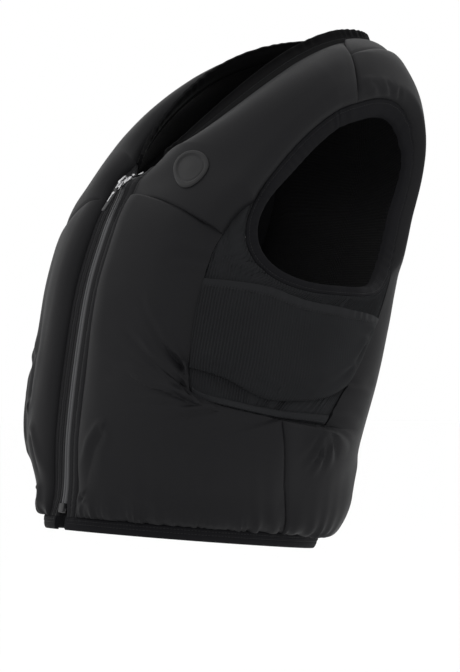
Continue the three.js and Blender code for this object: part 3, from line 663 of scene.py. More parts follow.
def airMeshPaint():
    paint = Paint("spacerMeshWithPaintedShade", **{"Specular IOR Level": airMesh["gloss"]})
    inputs = {"Vector": paint.place(airMesh["stretch"], True), "Scale": airMesh["holes"],
              "Randomness": airMesh["uneven"]}
    cells = paint.node("ShaderNodeTexVoronoi", {"feature": "F1"}, inputs, out="Distance")
    low, high = airMesh["strand"]
    strand = paint.node("ShaderNodeMapRange", None, {"Value": cells, "From Min": low, "From Max": high})
    # light strands and near-black holes: the mesh's pattern, with painted shade in the holes
    paint.feed(Base_Color=paint.tones(strand, airMesh["dark"], airMesh["light"]))
    paint.feed(Roughness=airMesh["rough"] + strand * 0.2)
    paint.feed(Normal=paint.bump(strand, 0.8, airMesh["relief"]))
    return paint.material


coatedZip = {"dark": (0.030, 0.0305, 0.033), "light": (0.044, 0.0445, 0.0475), "rough": 0.42, "gloss": 0.3,
             "cloud": 0.02, "scuff": 0.0012, "relief": 0.0002}


def coatedZipPaint():
    paint = Paint("coatedZip", **{"Specular IOR Level": coatedZip["gloss"]})
    cloud, scuff = paint.noise(coatedZip["cloud"]), paint.noise(coatedZip["scuff"], 2.0)
    paint.feed(Base_Color=paint.tones(cloud * 0.7 + scuff * 0.3, coatedZip["dark"], coatedZip["light"]))
    paint.feed(Roughness=coatedZip["rough"] + (scuff - 0.5) * 0.18)
    paint.feed(Normal=paint.bump(scuff, 0.15, coatedZip["relief"]))
    return paint.material


plating = {"dark": (0.5, 0.5, 0.51), "light": (0.74, 0.74, 0.75), "rough": 0.18, "cloud": 0.004,
           "scuff": 0.0012, "scuffStretch": (1, 0.2, 1), "relief": 0.0002}


def platingPaint():
    paint = Paint("brightPlating", **{"Metallic": 1.0})
    cloud = paint.noise(plating["cloud"], 4.0)
    scuff = paint.noise(plating["scuff"], 2.0, plating["scuffStretch"])
    paint.feed(Base_Color=paint.tones(cloud, plating["dark"], plating["light"]))
    paint.feed(Roughness=plating["rough"] + scuff * 0.22)
    paint.feed(Normal=paint.bump(scuff, 0.1, plating["relief"]))
    return paint.material


moulded = {"dark": (0.009, 0.009, 0.0098), "light": (0.018, 0.018, 0.0195), "cloud": 0.011, "pore": 0.0006,
           "relief": 0.0003}


def mouldedPaint(name, rough, tone, gloss):
    paint = Paint(name, **{"Specular IOR Level": gloss})
    cloud, pore = paint.noise(moulded["cloud"]), paint.noise(moulded["pore"], 2.0)
    paint.feed(Base_Color=paint.tones(cloud, *toned(moulded, tone)))
    paint.feed(Roughness=rough + (pore - 0.5) * 0.2)
    paint.feed(Normal=paint.bump(pore, 0.2, moulded["relief"]))
    return paint.material


paints = {
    "shell": softshellPaint(),
    "knit": knitPaint("ribKnit", tone=1.0),
    "trim": knitPaint("trimKnit", tone=1.15),
    "tape": tapePaint("foldedTape", tone=1.0),
    # the neck band's tape is the binding tape at 0.3 of its tone: painted shade for the band that sits in
    # shade inside the neck
    "neck": tapePaint("neckTapePaintedShade", tone=0.3),
    "mesh": airMeshPaint(),
    "zip": coatedZipPaint(),
    "metal": platingPaint(),
    "rubber": mouldedPaint("mouldedRubber", rough=0.5, tone=1.0, gloss=0.35),
    "badge": mouldedPaint("badgeRubber", rough=0.5, tone=0.62, gloss=0.25),
    "thread": mouldedPaint("sewingThread", rough=0.55, tone=0.9, gloss=0.25),
}
print("materials ready")

# padded panels: heights in millimetres as in the part's source, and the edges sewn flush to another pad
frontEdge = [(0, 12.5, 30), (0.24, 4, 80)]  # share of the edge from which, height, roll
backEdge = [(0, 12.5, 32), (0.22, 4, 64), (0.62, 4, 18)]
armEdge = [(0, 5, 18)]
neckEdge = [(0, 3, 72)]  # softer than in the part's source
bolster = {"inner": 1.2, "full": 19, "roll": 30, "left": 5, "right": armEdge, "bottom": 14, "top": 11,
           "fill": 0.85, "flush": ("bottom", "top"), "cells": (0.0026, 0.0026),
           "seed": 20, "uneven": 0.6, "gathered": False}
pads = {
    "front": {"inner": 1.2, "full": 15, "roll": 30, "left": 3, "right": frontEdge, "bottom": 3, "top": 14,
              "fill": 0.7, "flush": ("top", "right"), "cells": (0.0015, 0.0018),
              "seed": 10, "uneven": 1.0, "gathered": True},
    "bolster_left": {**bolster, "left": neckEdge},
    "bolster_right": bolster,
    "back": {"inner": 1.2, "full": 15, "roll": 32, "left": backEdge, "right": backEdge, "bottom": 3,
             "top": 11, "fill": 0.7, "flush": ("left", "right", "top"), "cells": (0.0025, 0.0026),
             "seed": 29, "uneven": 1.0, "gathered": True},
    "collar": {"inner": 1.2, "full": 12, "roll": 18, "left": 11, "right": 11, "bottom": 11, "top": 5,
               "fill": 0.8, "flush": ("left", "right", "bottom"), "cells": (0.0026, 0.0022),
               "seed": 29, "uneven": 1.0, "gathered": False},
}
# a seam's groove shows only where the pads beside it are thick
seamLine = {"deep": 0.0014, "wide": 0.0013, "calm": 0.014, "thin": 0.008, "thick": 0.0105}
# slow and fine unevenness, which fades where the pad is thin, and the height from which folds come fully
padding = {"slow": 0.0012, "slowSize": 0.16, "fine": 0.00014, "fineSize": 0.045, "crown": 1.3,
           "foldsFull": 0.006}
dragFolds = [  # from, to (degrees around, rings up), half width and depth in metres
    ((26.5, 3.78), (44.6, 2.84), 0.0046, 0.0034),
    ((33, 3.42), (45.4, 2.86), 0.0032, 0.0016),
    ((22.5, 3.34), (48.2, 2.56), 0.0048, 0.0044),
    ((31, 3.0), (48.4, 2.52), 0.0030, 0.0016),
    ((18.5, 2.82), (50.2, 2.42), 0.0050, 0.0042),
    ((28, 2.4), (52, 2.38), 0.0040, 0.0020),
    ((37.5, 2.17), (58, 2.3), 0.0050, 0.0024),
    ((40, 3.1), (47.6, 2.7), 0.0030, 0.0018),
    ((32.5, 4.43), (46.2, 4.33), 0.007, 0.0024),
    ((36, 4.16), (46.4, 4.12), 0.006, 0.0012),
    ((15.5, 1.05), (19, 1.95), 0.008, 0.0024),
    ((13.4, 0.06), (15.2, 0.75), 0.006, 0.0024),
    ((17.5, 0.04), (17.2, 0.5), 0.005, 0.0016),
    ((31, 0.4), (45, 0.55), 0.012, 0.0014),
]
plainFolds = [
    ((24, 4.6), (23.5, 2.5), 0.011, 0.0028),
    ((31, 4.1), (29, 1.9), 0.010, 0.0026),
    ((39, 3.9), (37, 2.6), 0.009, 0.0022),
    ((20, 3.2), (46.3, 2.62), 0.0085, 0.0032),
    ((15.5, 1.0), (19, 1.9), 0.008, 0.0024),
    ((22, 0.1), (21, 0.8), 0.007, 0.0024),
]
pleats = [
    ((92.6, 1.74), (97.6, 2.16), 0.0036, 0.0026),
    ((96.6, 1.6), (98.8, 2.16), 0.0034, 0.0032),
    ((101.6, 1.56), (99.8, 2.16), 0.0036, 0.0040),
    ((108.5, 1.72), (100.6, 2.17), 0.0038, 0.0038),
    ((117, 1.94), (101.2, 2.19), 0.0042, 0.0034),
    ((121, 2.34), (103, 2.36), 0.0048, 0.0028),
    ((128, 2.76), (109, 2.7), 0.0054, 0.0024),
    ((112, 6.35), (104.8, 6.74), 0.0046, 0.0028),
    ((118, 6.3), (111, 6.72), 0.0042, 0.0024),
    ((124, 6.15), (118, 6.62), 0.0046, 0.0020),
    ((132, 1.2), (150, 1.6), 0.014, 0.0020),
]
# soft bulges: place in the pattern, reach and height in metres
bulges = {"back": [((138, 6.58), 0.045, 0.006), ((128, 1.05), 0.035, 0.005)]}
hemGather = {"fine": 0.0064, "fineDeep": 0.0023, "fineReach": 0.012, "broad": 0.017, "broadDeep": 0.0030,
             "broadReach": 0.022}


def hemLift(grid, seed):  # puckers where the hem band draws the panel in
    way = grid["s"] * grid["width"]
    fine = hemGather["fineDeep"] * np.exp(-grid["bottom"] / hemGather["fineReach"])
    broad = hemGather["broadDeep"] * np.exp(-grid["bottom"] / hemGather["broadReach"])
    return fine * ripple(way, hemGather["fine"], seed) + broad * ripple(way, hemGather["broad"], seed + 1)


def addPad(name, node, kind, side=1, folds=()):
    pad = pads[kind]
    seed = pad["seed"] + side
    grid = pieceGrid(patches[kind], pad["cells"], side)
    lift = padLift(grid, pad)
    calm = np.ones(lift.shape)
    for edge in pad["flush"]:
        calm = calm * smoothStep(grid[edge], 0, seamLine["calm"])
        sunk = seamLine["deep"] * smoothStep(lift, seamLine["thin"], seamLine["thick"])
        lift = lift - sunk * groove(grid[edge], seamLine["wide"])
    crown = np.minimum(1, padding["crown"] * lift * 1000 / pad["full"])
    lift = lift + foldLift(grid, folds) * smoothStep(lift, 0.0, padding["foldsFull"])
    for spot, reach, high in bulges.get(kind, ()):
        away = grid["point"] - formPoint(*spot) * np.where(grid["point"][..., :1] < 0, (-1, 1, 1), 1)
        lift = lift + high * np.exp(-(away * away).sum(-1) / reach**2) * calm
    loose = padding["slow"] * softNoise(grid["point"], padding["slowSize"], seed)
    loose = loose + padding["fine"] * softNoise(grid["point"], padding["fineSize"], seed + 1)
    lift = lift + pad["uneven"] * crown * calm * loose
    if pad["gathered"]:
        lift = lift + hemLift(grid, seed + 2)
    obj = shellPiece(name, grid, lift, pad["inner"] / 1000)
    settle(obj, node, paints["shell"])
    lineInside(obj, grid, paints["mesh"])
    return grid


chestGrids = {}
for side, word in sides:
    addPad(f"frontPanel_{word}", f"front_panel_{word}", "front", side, dragFolds if side > 0 else plainFolds)
    chestGrids[word] = addPad(f"chestBolster_{word}", f"chest_bolster_{word}", f"bolster_{word}", side)
addPad("backPanel", "back_panel", "back", folds=pleats)
addPad("backCollar", "back_collar", "collar")
print("padded panels made")

# stitches: one short thread, copied along a line of the cloth
stitch = {"long": 0.0027, "gap": 0.0009, "wide": 0.00055, "rise": 0.00045, "slopeStep": 0.0008,
          "rings": ((-0.5, -0.8), (-0.3, 0.35), (0.3, 0.35), (0.5, -0.8)), "corners": 4}
threadVerts, threadFaces = [], []


def clothRow(grid, way, share, start=0.0, end=1.0):  # points and normals along a line of the outer face
    outer, normal, level = grid["outer"], grid["normal"], grid[way]
    along = grid["s" if way == "t" else "t"]
    if way == "s":
        outer, normal, level, along = (np.swapaxes(v, 0, 1) for v in (outer, normal, level, along))
    place = np.interp(share, level[:, 0], np.arange(len(level)))
    low = min(int(place), len(level) - 2)
    mix = place - low
    keep = (along[low] >= start) & (along[low] <= end)
    return ((1 - mix) * v[low][keep] + mix * v[low + 1][keep] for v in (outer, normal))


def sew(line, normals, closed=False):
    if closed:
        line, normals = np.vstack([line, line[:1]]), np.vstack([normals, normals[:1]])
    length = np.concatenate([[0], np.cumsum(np.linalg.norm(np.diff(line, axis=0), axis=1))])
    count = max(1, int(length[-1] / (stitch["long"] + stitch["gap"])))
    mids = (np.arange(count) + 0.5) * length[-1] / count

    def at(values, where):
        return np.stack([np.interp(where, length, values[:, k]) for k in range(3)], -1)

    centre, up = at(line, mids), unit(at(normals, mids))
    along = unit(at(line, mids + stitch["slopeStep"]) - at(line, mids - stitch["slopeStep"]))
    across = unit(np.cross(up, along))
    shape = []
    corners, thick = stitch["corners"], stitch["wide"] / 2
    for run, rise in stitch["rings"]:
        spot = centre + along * stitch["long"] * run + up * (stitch["rise"] * rise)
        for turn in range(corners):
            angle = 2 * math.pi * (turn + 0.5) / corners
            shape.append(spot + across * thick * math.cos(angle) + up * thick * math.sin(angle))
    base = sum(len(v) for v in threadVerts)
    threadVerts.append(np.stack(shape, 1).reshape(-1, 3))
    last = corners * (len(stitch["rings"]) - 1)
    for first in range(base, base + count * len(shape), len(shape)):
        threadFaces.append([first + v for v in reversed(range(corners))])
        threadFaces.append([first + last + v for v in range(corners)])
        for ring in range(first, first + last, corners):
            for turn in range(corners):
                a, b = ring + turn, ring + (turn + 1) % corners
                threadFaces.append([a, b, b + corners, a + corners])


def addThread():
    obj = newObject("topStitching", np.vstack(threadVerts), threadFaces)
    obj.data.shade_smooth()
    settle(obj, None, paints["thread"])


# knitted sides
ribs = {"pitch": 0.0031, "deep": 0.0014, "thick": 0.0017, "inner": 0.001, "cells": (0.0004, 0.0042),
        "level": 3.3, "from": 40, "to": 145, "steps": 200}
ribFolds = [  # slack creases between the pouch and the armhole
    ((47.5, 4.5), (74, 4.2), 0.0042, 0.0026),
    ((48, 4.3), (78, 4.05), 0.0038, 0.0028),
    ((50, 4.18), (66, 4.08), 0.003, 0.0016),
]
# gathers that take the place of the ribs at the panel's foot, in degrees around and shares up it
gatherStrip = {"pitch": 0.0052, "wave": 0.0007, "seed": 45, "around": (66.0, 74.0), "up": (0.2, 0.08)}
# heights in metres, and where the pouch sags and its ribs wear flat, as shares up and across it
pouch = {"foot": 0.0042, "full": 0.009, "roll": 0.034, "under": 0.0029, "fill": 0.2,
         "cells": (0.0004, 0.0036), "sag": 0.008, "middle": 0.16, "reach": 0.34, "belly": 0.7, "turn": 0.013,
         "turnFoot": 0.2, "worn": 0.6, "wornAcross": (0.5, 0.8)}
pouchBand = {"wide": 0.0085, "step": 0.0008, "high": 0.0009, "grooveDeep": 0.0008, "grooveWide": 0.0009,
             "wave": 0.0005, "pitch": 0.012, "seed": 46, "stitchAt": 1.25, "margin": 0.02}
pouchFolds = [
    ((49, 2.98), (60, 2.86), 0.004, 0.0016),
    ((60, 2.84), (78, 2.6), 0.005, 0.0018),
    ((92, 2.62), (104, 2.86), 0.006, 0.0022),
    ((100, 2.72), (112, 3.2), 0.006, 0.0026),
    ((104, 3.4), (116, 3.36), 0.006, 0.0014),
]
# where the trim starts and how far it runs, as shares across and up the side panel
trim = {"start": (0.05, 0.012), "run": (0.94, 0.043), "edge": 0.0036, "full": 0.0046, "roll": 0.003,
        "under": 0.0026, "flat": 0.0105, "cells": (0.0015, 0.0011), "wave": 0.0003, "pitch": 0.009,
        "seed": 47, "stitchAt": (0.2, 0.8), "margin": 0.01}


def ribLift(around):  # ribs run up the body, at the same places in the panel and the pouch
    turns = np.linspace(ribs["from"], ribs["to"], ribs["steps"])
    path = formPoint(turns, np.full(ribs["steps"], ribs["level"]))
    length = np.concatenate([[0], np.cumsum(np.linalg.norm(np.diff(path, axis=0), axis=1))])
    return ribs["deep"] * np.sin(np.pi * np.interp(np.abs(around), turns, length) / ribs["pitch"]) ** 2


# where the flat cut is widest and tallest, in degrees around and rings up
sideCut = {"across": ((47.7, 4.36), (137.8, 4.36)), "upright": ((56.55, 2.38), (56.55, 5.35))}


def runOn(start, end):  # length over the form between two places in the pattern
    path = formPoint(*(np.linspace(a, b, lengthSteps) for a, b in zip(start, end)))
    return float(np.linalg.norm(np.diff(path, axis=0), axis=1).sum())


def bandWave(grid, band, side=0):
    return band["wave"] * ripple(grid["s"] * grid["width"], band["pitch"], band["seed"] + side)


def sewBand(grid, band):
    for share in band["stitchAt"]:
        sew(*clothRow(grid, "t", share, band["margin"], 1 - band["margin"]), grid["closed"])


def addSidePanel(word, side):
    grid = pieceGrid(patches["rib"], ribs["cells"], side)
    slack = smoothStep(np.abs(grid["around"]), *gatherStrip["around"])
    slack = slack * smoothStep(grid["t"], *gatherStrip["up"])
    lift = ribs["thick"] + ribLift(grid["around"]) * (1 - slack) + foldLift(grid, ribFolds)
    lift = lift + slack * bandWave(grid, gatherStrip)
    obj = shellPiece(f"sidePanel_{word}", grid, lift, ribs["inner"])
    settle(obj, f"side_panel_{word}", paints["knit"])
    lineInside(obj, grid, paints["mesh"])
    flat = tuple(runOn(*ends) for ends in sideCut.values())
    clothArea(grid)


def addPouch(word, side):
    grid = pieceGrid(patches["pouch"], pouch["cells"], side)
    reach = np.minimum(np.minimum(grid["left"], grid["right"]), np.minimum(grid["bottom"], grid["top"]))
    slope = np.sin(np.pi / 2 * np.minimum(reach / pouch["roll"], 1))
    lift = pouch["foot"] + (pouch["full"] - pouch["foot"]) * slope
    low = (grid["t"] - pouch["middle"]) / pouch["reach"]
    slack = pouch["sag"] * np.exp(-low * low) * np.sin(np.pi * grid["s"]) ** pouch["belly"]
    turned = pouch["turnFoot"] + (1 - pouch["turnFoot"]) * rolled(grid["bottom"], pouch["turn"])
    lift = lift + slack * turned + foldLift(grid, pouchFolds)
    band = smoothStep(grid["top"], pouchBand["wide"] + pouchBand["step"], pouchBand["wide"])
    seam = pouchBand["grooveDeep"] * groove(grid["top"] - pouchBand["wide"], pouchBand["grooveWide"])
    lift = lift + band * (pouchBand["high"] + bandWave(grid, pouchBand)) - seam
    ribsLeft = 1 - pouch["worn"] * smoothStep(grid["s"], *pouch["wornAcross"])
    lift = lift + ribLift(grid["around"]) * (1 - band) * ribsLeft
    obj = shellPiece(f"sidePocket_{word}", grid, lift, -pouch["under"])
    settle(obj, f"side_pocket_{word}", paints["knit"])
    below = pouchBand["stitchAt"] * pouchBand["wide"] / grid["height"]
    sew(*clothRow(grid, "t", 1 - below, pouchBand["margin"], 1 - pouchBand["margin"]))


def trimPatch(s, t):
    return patches["rib"](*(start + run * v for start, run, v in zip(trim["start"], trim["run"], (s, t))))


def addTrim(word, side):
    grid = pieceGrid(trimPatch, trim["cells"], side)
    crown = (trim["full"] - trim["edge"]) * rolled(np.minimum(grid["bottom"], grid["top"]), trim["roll"])
    obj = shellPiece(f"sideTrim_{word}", grid, trim["edge"] + crown + bandWave(grid, trim), -trim["under"])
    settle(obj, f"side_trim_{word}", paints["trim"])
    sewBand(grid, trim)


for side, word in sides:
    addSidePanel(word, side)
    addPouch(word, side)
    addTrim(word, side)
print("knitted sides made")

# bound edges
binding = {"edge": 0.0014, "full": 0.0038, "roll": 0.006, "under": 0.0022, "turnIn": 0.005,
           "cells": (0.0022, 0.001), "wave": 0.0006, "pitch": 0.017, "seed": 50, "stitchAt": (0.68,),
           "margin": 0.0}
# the free edge rolls in over the shoulder and at the back, between these rings up and degrees around
bindingTuck = {"deep": 0.0125, "power": 1.1, "shoulder": (5.0, 6.3), "back": (100, 130), "below": (6.0, 5.0)}
neckBand = {"edge": 0.0014, "full": 0.0022, "roll": 0.003, "under": 0.0014, "turnIn": 0.002,
            "cells": (0.0022, 0.0011), "wave": 0.0007, "pitch": 0.013, "seed": 55, "waveFrom": (0.1, 0.7),
            "stitchAt": (0.24,), "margin": 0.005}
hemBand = {"edge": 0.0014, "full": 0.0032, "roll": 0.006, "under": 0.0018, "turnIn": 0.004,
           "cells": (0.0019, 0.0009), "wave": 0.0005, "pitch": 0.011, "seed": 60, "waveFrom": (0.3, 1),
           "stitchAt": (0.45, 0.72), "margin": 0.002}
seamDent = {"deep": 0.0005, "wide": 0.0008}  # where a seam presses into a band


def bindingPatch(s, t):
    arcs = []
    for share in (armhole["binding"], 1.0):
        arcs.append(joined(
            (armholeArc(armAngle["rib"], armAngle["shoulder"], share), 11),
            (armholeArc(armAngle["shoulder"], armAngle["back"], share), 9),
            (armholeArc(armAngle["back"], armAngle["rib"] + 360, share), 12))(s))
    return arcs[0] + (arcs[1] - arcs[0]) * np.asarray(t, float)[..., None]


def neckPatch(s, t):
    around = joined(
        (straight((neckFront, 0), (form["neckSeam"], 0)), 11),
        (straight((form["neckSeam"], 0), (360 - form["neckSeam"], 0)), 14),
        (straight((360 - form["neckSeam"], 0), (360 - neckFront, 0)), 11))(s)[..., 0]
    dip = neckDip(around, neckWorn["left"]) + neckDip(360 - around, neckWorn["right"])
    return np.stack([around, form["neckline"] - dip + (form["bandTop"] - form["neckline"]) * t], -1)


def hemPatch(s, t):
    start = float(aroundAt(placket["inner"] + placket["spread"], 0.0))
    return np.stack([start + (360 - 2 * start) * s, form["hemFoot"] * (1 - t)], -1)


def bandLift(grid, band):
    crown = rolled(np.minimum(grid["bottom"], grid["top"]), band["roll"])
    lift = band["edge"] + (band["full"] - band["edge"]) * crown
    for share in band["stitchAt"]:
        lift = lift - seamDent["deep"] * groove((grid["t"] - share) * grid["height"], seamDent["wide"])
    return lift


def addBinding(word, side):
    grid = pieceGrid(bindingPatch, binding["cells"], side, True)
    wave = bandWave(grid, binding, side)
    back = smoothStep(np.abs(grid["around"]), *bindingTuck["back"])
    rolledIn = smoothStep(grid["up"], *bindingTuck["shoulder"])
    rolledIn = rolledIn + back * smoothStep(grid["up"], *bindingTuck["below"])
    tuck = bindingTuck["deep"] * np.minimum(rolledIn, 1) * (1 - grid["t"]) ** bindingTuck["power"]
    lift = bandLift(grid, binding) + wave - tuck
    obj = shellPiece(f"armholeBinding_{word}", grid, lift, binding["under"] - wave + tuck)
    settle(obj, f"armhole_binding_{word}", paints["tape"])
    declareSheet(grid, binding["turnIn"])
    sewBand(grid, binding)


def addNeckBand():
    grid = pieceGrid(neckPatch, neckBand["cells"])
    wave = bandWave(grid, neckBand) * smoothStep(grid["t"], *neckBand["waveFrom"])
    obj = shellPiece("neckBand", grid, bandLift(grid, neckBand) + wave, neckBand["under"] - wave)
    # the neck band takes the tape darkened as painted shade
    settle(obj, "neck_band", paints["neck"])
    declareSheet(grid, neckBand["turnIn"])
    sewBand(grid, neckBand)


def addHemBand():
    grid = pieceGrid(hemPatch, hemBand["cells"])
    wave = bandWave(grid, hemBand) * smoothStep(grid["t"], *hemBand["waveFrom"])
    obj = shellPiece("hemBand", grid, bandLift(grid, hemBand) + wave, hemBand["under"])
    settle(obj, "hem_band", paints["tape"])
    declareSheet(grid, hemBand["turnIn"])
    sewBand(grid, hemBand)


for side, word in sides:
    addBinding(word, side)
addNeckBand()
addHemBand()
print("bound edges made")

# lining seen through the neck and the armholes
lining = {
    "chest": {"near": 0.0021, "far": 0.0039, "sag": 0.0004, "sagSize": 0.04, "seed": 70},
    "back": {"near": 0.0032, "far": 0.005, "sag": 0.0005, "sagSize": 0.05, "seed": 71},
    "cells": (0.005, 0.005),
}


def addLining(name, node, kind, layer, side=1):
    grid = pieceGrid(patches[kind], lining["cells"], side)
    sag = layer["sag"] * softNoise(grid["point"], layer["sagSize"], layer["seed"])
    obj = shellPiece(name, grid, sag - layer["near"], layer["far"])
    settle(obj, node, paints["mesh"])
    declareSheet(grid)


for side, word in sides:
    addLining(f"liningChest_{word}", f"lining_chest_{word}", f"bolster_{word}", lining["chest"],
              side)
addLining("liningBack", "lining_back", "back", lining["back"])
print("lining made")

# front zip: plackets, coated strip, tape under it
placketCut = {"edge": 0.0012, "lip": 0.0011, "roll": 0.004, "under": 0.001, "turnIn": 0.004,
              "cells": (0.0007, 0.003), "swell": 0.0006, "swells": 2, "grooveWide": 0.0009,
              "grooves": ((0.3, 0.0011), (0.4, 0.0006), (0.74, 0.0011)), "wave": 0.00035, "pitch": 0.012,
              "seed": 80, "stitchAt": (0.35, 0.79), "margin": 0.004}
zipStrip = {"half": 5.0, "bottom": 0.5, "top": 7.5, "edge": 0.0014, "crown": 0.0012, "roll": 0.0022,
            "under": 0.0006, "cells": (0.0005, 0.0007), "slit": 0.0006, "slitDeep": 0.001, "coil": 0.0021,
            "coilDeep": 0.00009, "coilInner": (0.0006, 0.0012), "coilOuter": (0.0042, 0.003)}
zipTape = {"half": 9.0, "bottom": 0.28, "top": 7.95, "over": 0.0003, "under": 0.0005,
           "cells": (0.0015, 0.003)}


def placketPatch(s, t):
    up = form["neckline"] * np.asarray(t, float)
    spread = placket["spread"] * smoothStep(up, placket["spreadUp"], 0.0)
    inner = placket["inner"] + spread
    return np.stack([aroundAt(inner + (placket["outer"] - inner) * np.asarray(s, float), up), up], -1)


def addPlacket(word, side):
    grid = pieceGrid(placketPatch, placketCut["cells"], side)
    crown = rolled(np.minimum(grid["left"], grid["right"]), placketCut["roll"])
    lift = placketCut["edge"] + placketCut["lip"] * crown
    lift = lift + placketCut["swell"] * np.cos(2 * np.pi * placketCut["swells"] * grid["s"])
    for share, deep in placketCut["grooves"]:
        lift = lift - deep * groove((grid["s"] - share) * grid["width"], placketCut["grooveWide"])
    wave = ripple(grid["t"] * grid["height"], placketCut["pitch"], placketCut["seed"] + side)
    lift = lift + placketCut["wave"] * wave * np.sin(np.pi * grid["s"])
    obj = shellPiece(f"zipPlacket_{word}", grid, lift, placketCut["under"])
    settle(obj, f"placket_{word}", paints["shell"])
    flat = (grid["width"] + placketCut["turnIn"], grid["height"])
    for share in placketCut["stitchAt"]:
        sew(*clothRow(grid, "s", share, placketCut["margin"], 1 - placketCut["margin"]))


def stripPatch(strip):
    def patch(s, t):
        up = strip["bottom"] + (strip["top"] - strip["bottom"]) * np.asarray(t, float)
        return np.stack([aroundAt(strip["half"] * (2 * np.asarray(s, float) - 1), up), up], -1)

    return patch


def addZipStrip():
    grid = pieceGrid(stripPatch(zipStrip), zipStrip["cells"])
    across = np.abs(grid["s"] - 0.5) * grid["width"]
    crown = rolled(np.minimum(grid["left"], grid["right"]), zipStrip["roll"])
    lift = zipStrip["edge"] + zipStrip["crown"] * crown
    lift = lift - zipStrip["slitDeep"] * groove(across, zipStrip["slit"])
    coil = zipStrip["coilDeep"] * np.sin(2 * np.pi * grid["t"] * grid["height"] / zipStrip["coil"])
    coil = coil * smoothStep(across, *zipStrip["coilInner"]) * smoothStep(across, *zipStrip["coilOuter"])
    obj = shellPiece("zipStrip", grid, lift + coil, zipStrip["under"])
    settle(obj, "zip_chain", paints["zip"])


def addZipTape():
    grid = pieceGrid(stripPatch(zipTape), zipTape["cells"])
    obj = shellPiece("zipTape", grid, np.full(grid["s"].shape, zipTape["over"]), zipTape["under"])
    settle(obj, None, paints["tape"])


for side, word in sides:
    addPlacket(word, side)
addZipStrip()
addZipTape()
addThread()
print("zip and stitching made")

# hard fittings: the part's own solids with rolled edges
fittings = [  # node, piece, finish, slot, body, roll of the edges in metres
    ("zip_slider", "zipSlider", "metal", "metal", "vest", 0.00045),
    ("zip_pull_ring", "pullRing", "metal", "metal", "pull", 0.00055),
    ("zip_pull_tab", "pullTab", "rubber", "moulded", "pull", 0.0004),
    ("zip_pull_inlay", "pullInlay", "metal", "metal", "pull", 0.00018),
    ("zip_stop_left", "zipStop_left", "metal", "metal", "vest", 0.0005),
    ("zip_stop_right", "zipStop_right", "metal", "metal", "vest", 0.0005),
    ("zip_box", "zipBox", "rubber", "moulded", "vest", 0.0008),
    ("pocket_zip_slider", "pocketZipSlider", "metal", "metal", "vest", 0.0004),
    ("collar_zip_slider", "collarZipSlider", "metal", "metal", "vest", 0.0004),
]
# which edges are rolled and how, with angles in degrees
fittingEdge = {"merge": 0.00001, "flat": 4, "sharp": 32, "segments": 3, "smoothBelow": 42}


def addFitting(node, name, finish, slot, body, roll):
    obj = bpy.data.objects.new(name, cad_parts[node].data.copy())
    bpy.context.scene.collection.objects.link(obj)
    makeActive(obj)
    bpy.ops.object.mode_set(mode="EDIT")
    bpy.ops.mesh.select_all(action="SELECT")
    bpy.ops.mesh.remove_doubles(threshold=fittingEdge["merge"])
    bpy.ops.mesh.dissolve_limited(angle_limit=math.radians(fittingEdge["flat"]))
    bpy.ops.object.mode_set(mode="OBJECT")
    applyModifier(obj, "BEVEL", width=roll, segments=fittingEdge["segments"], limit_method="ANGLE",
                  angle_limit=math.radians(fittingEdge["sharp"]))
    smoothByAngle(obj, fittingEdge["smoothBelow"])
    settle(obj, node, paints[finish], body)


for row in fittings:
    addFitting(*row)
print("fittings made")

# chest badge: a plain oval with a raised rim, a groove inside it and a low dome in the middle
badge = {"around": 34.6, "up": 6.13, "halfAround": 5.9, "halfUp": 0.56, "foot": -0.0007, "face": 0.0009,
         "rim": 0.0011, "rimInner": (0.76, 0.82), "rimOuter": (0.94, 1.0), "rimFall": 0.75,
         "groove": 0.0005, "grooveAt": 0.72, "grooveWide": 0.035, "dome": 0.0005, "domeTo": 0.6,
         "seatBlur": 0.003, "cells": (0.0008, 0.0008)}


def badgePatch(s, t):
    u, w = 2 * np.asarray(s, float) - 1, 2 * np.asarray(t, float) - 1
    x, y = u * np.sqrt(1 - w * w / 2), w * np.sqrt(1 - u * u / 2)
    return np.stack([badge["around"] + badge["halfAround"] * x, badge["up"] + badge["halfUp"] * y], -1)


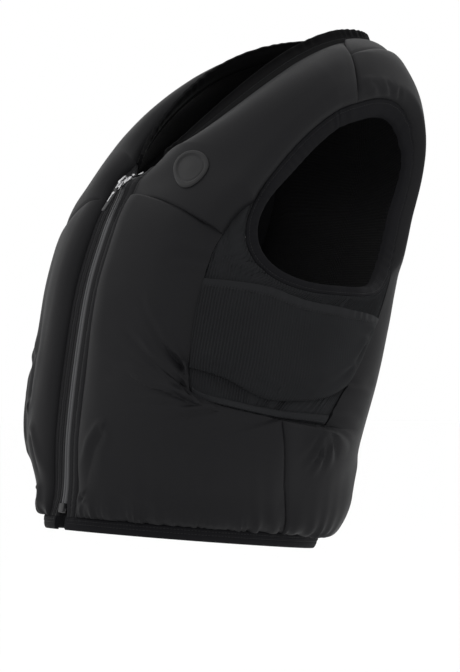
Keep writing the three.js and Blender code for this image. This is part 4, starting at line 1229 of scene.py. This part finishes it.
def padUnder(grid, pad):  # height of the chest pad under each point of the badge
    near = np.abs(pad["around"] - badge["around"]) < 2 * badge["halfAround"]
    near = near & (np.abs(pad["up"] - badge["up"]) < 2 * badge["halfUp"])
    away = np.linalg.norm(grid["point"][..., None, :] - pad["point"][near], axis=-1)
    weight = np.exp(-((away / badge["seatBlur"]) ** 2))
    return (weight * pad["lift"][near]).sum(-1) / weight.sum(-1)


def addBadge():
    grid = pieceGrid(badgePatch, badge["cells"], overlap=0.0)
    ground = padUnder(grid, chestGrids["left"])
    u, w = 2 * grid["s"] - 1, 2 * grid["t"] - 1
    reach = np.sqrt(u * u * (1 - w * w / 2) + w * w * (1 - u * u / 2))
    rim = badge["rim"] * smoothStep(reach, *badge["rimInner"])
    rim = rim * (1 - badge["rimFall"] * smoothStep(reach, *badge["rimOuter"]))
    lift = ground + badge["face"] + rim + badge["dome"] * smoothStep(reach, badge["domeTo"], 0.0)
    lift = lift - badge["groove"] * groove(reach - badge["grooveAt"], badge["grooveWide"])
    obj = shellPiece("chestBadge", grid, lift, -badge["foot"] - ground)
    settle(obj, "chest_badge", paints["badge"])


addBadge()
print("badge made")

# studio
studio = {"floor": -0.8, "floorRadius": 40.0, "floorSides": 96, "world": 1.0, "aim": (0, -0.06, -0.2)}
lamps = [  # name, place, size in metres, power
    ("key", (-0.9, -2.0, 1.5), 1.2, 3.0),
    ("rim", (1.9, 1.3, 1.1), 1.0, 3.0),
]


def addStudio():
    bpy.ops.mesh.primitive_circle_add(
        vertices=studio["floorSides"], radius=studio["floorRadius"], fill_type="NGON",
        location=(0, 0, studio["floor"]))
    floor = bpy.context.object
    floor.name = "floor"
    paint = Paint("paleFloor", **{"Roughness": 0.9, "Specular IOR Level": 0.1, "Base Color": (1, 1, 1, 1)})
    floor.data.materials.append(paint.material)
    world = bpy.data.worlds.new("studio")
    bpy.context.scene.world = world
    world.use_nodes = True
    background = world.node_tree.nodes["Background"]
    background.inputs["Color"].default_value = (1, 1, 1, 1)
    background.inputs["Strength"].default_value = studio["world"]
    for name, place, size, power in lamps:
        bpy.ops.object.light_add(type="AREA", location=place)
        lamp = bpy.context.object
        lamp.name = name
        lamp.data.size, lamp.data.energy = size, power
        lamp.rotation_euler = (Vector(studio["aim"]) - Vector(place)).to_track_quat("-Z", "Y").to_euler()
    bpy.context.scene.view_settings.view_transform = "Standard"


addStudio()
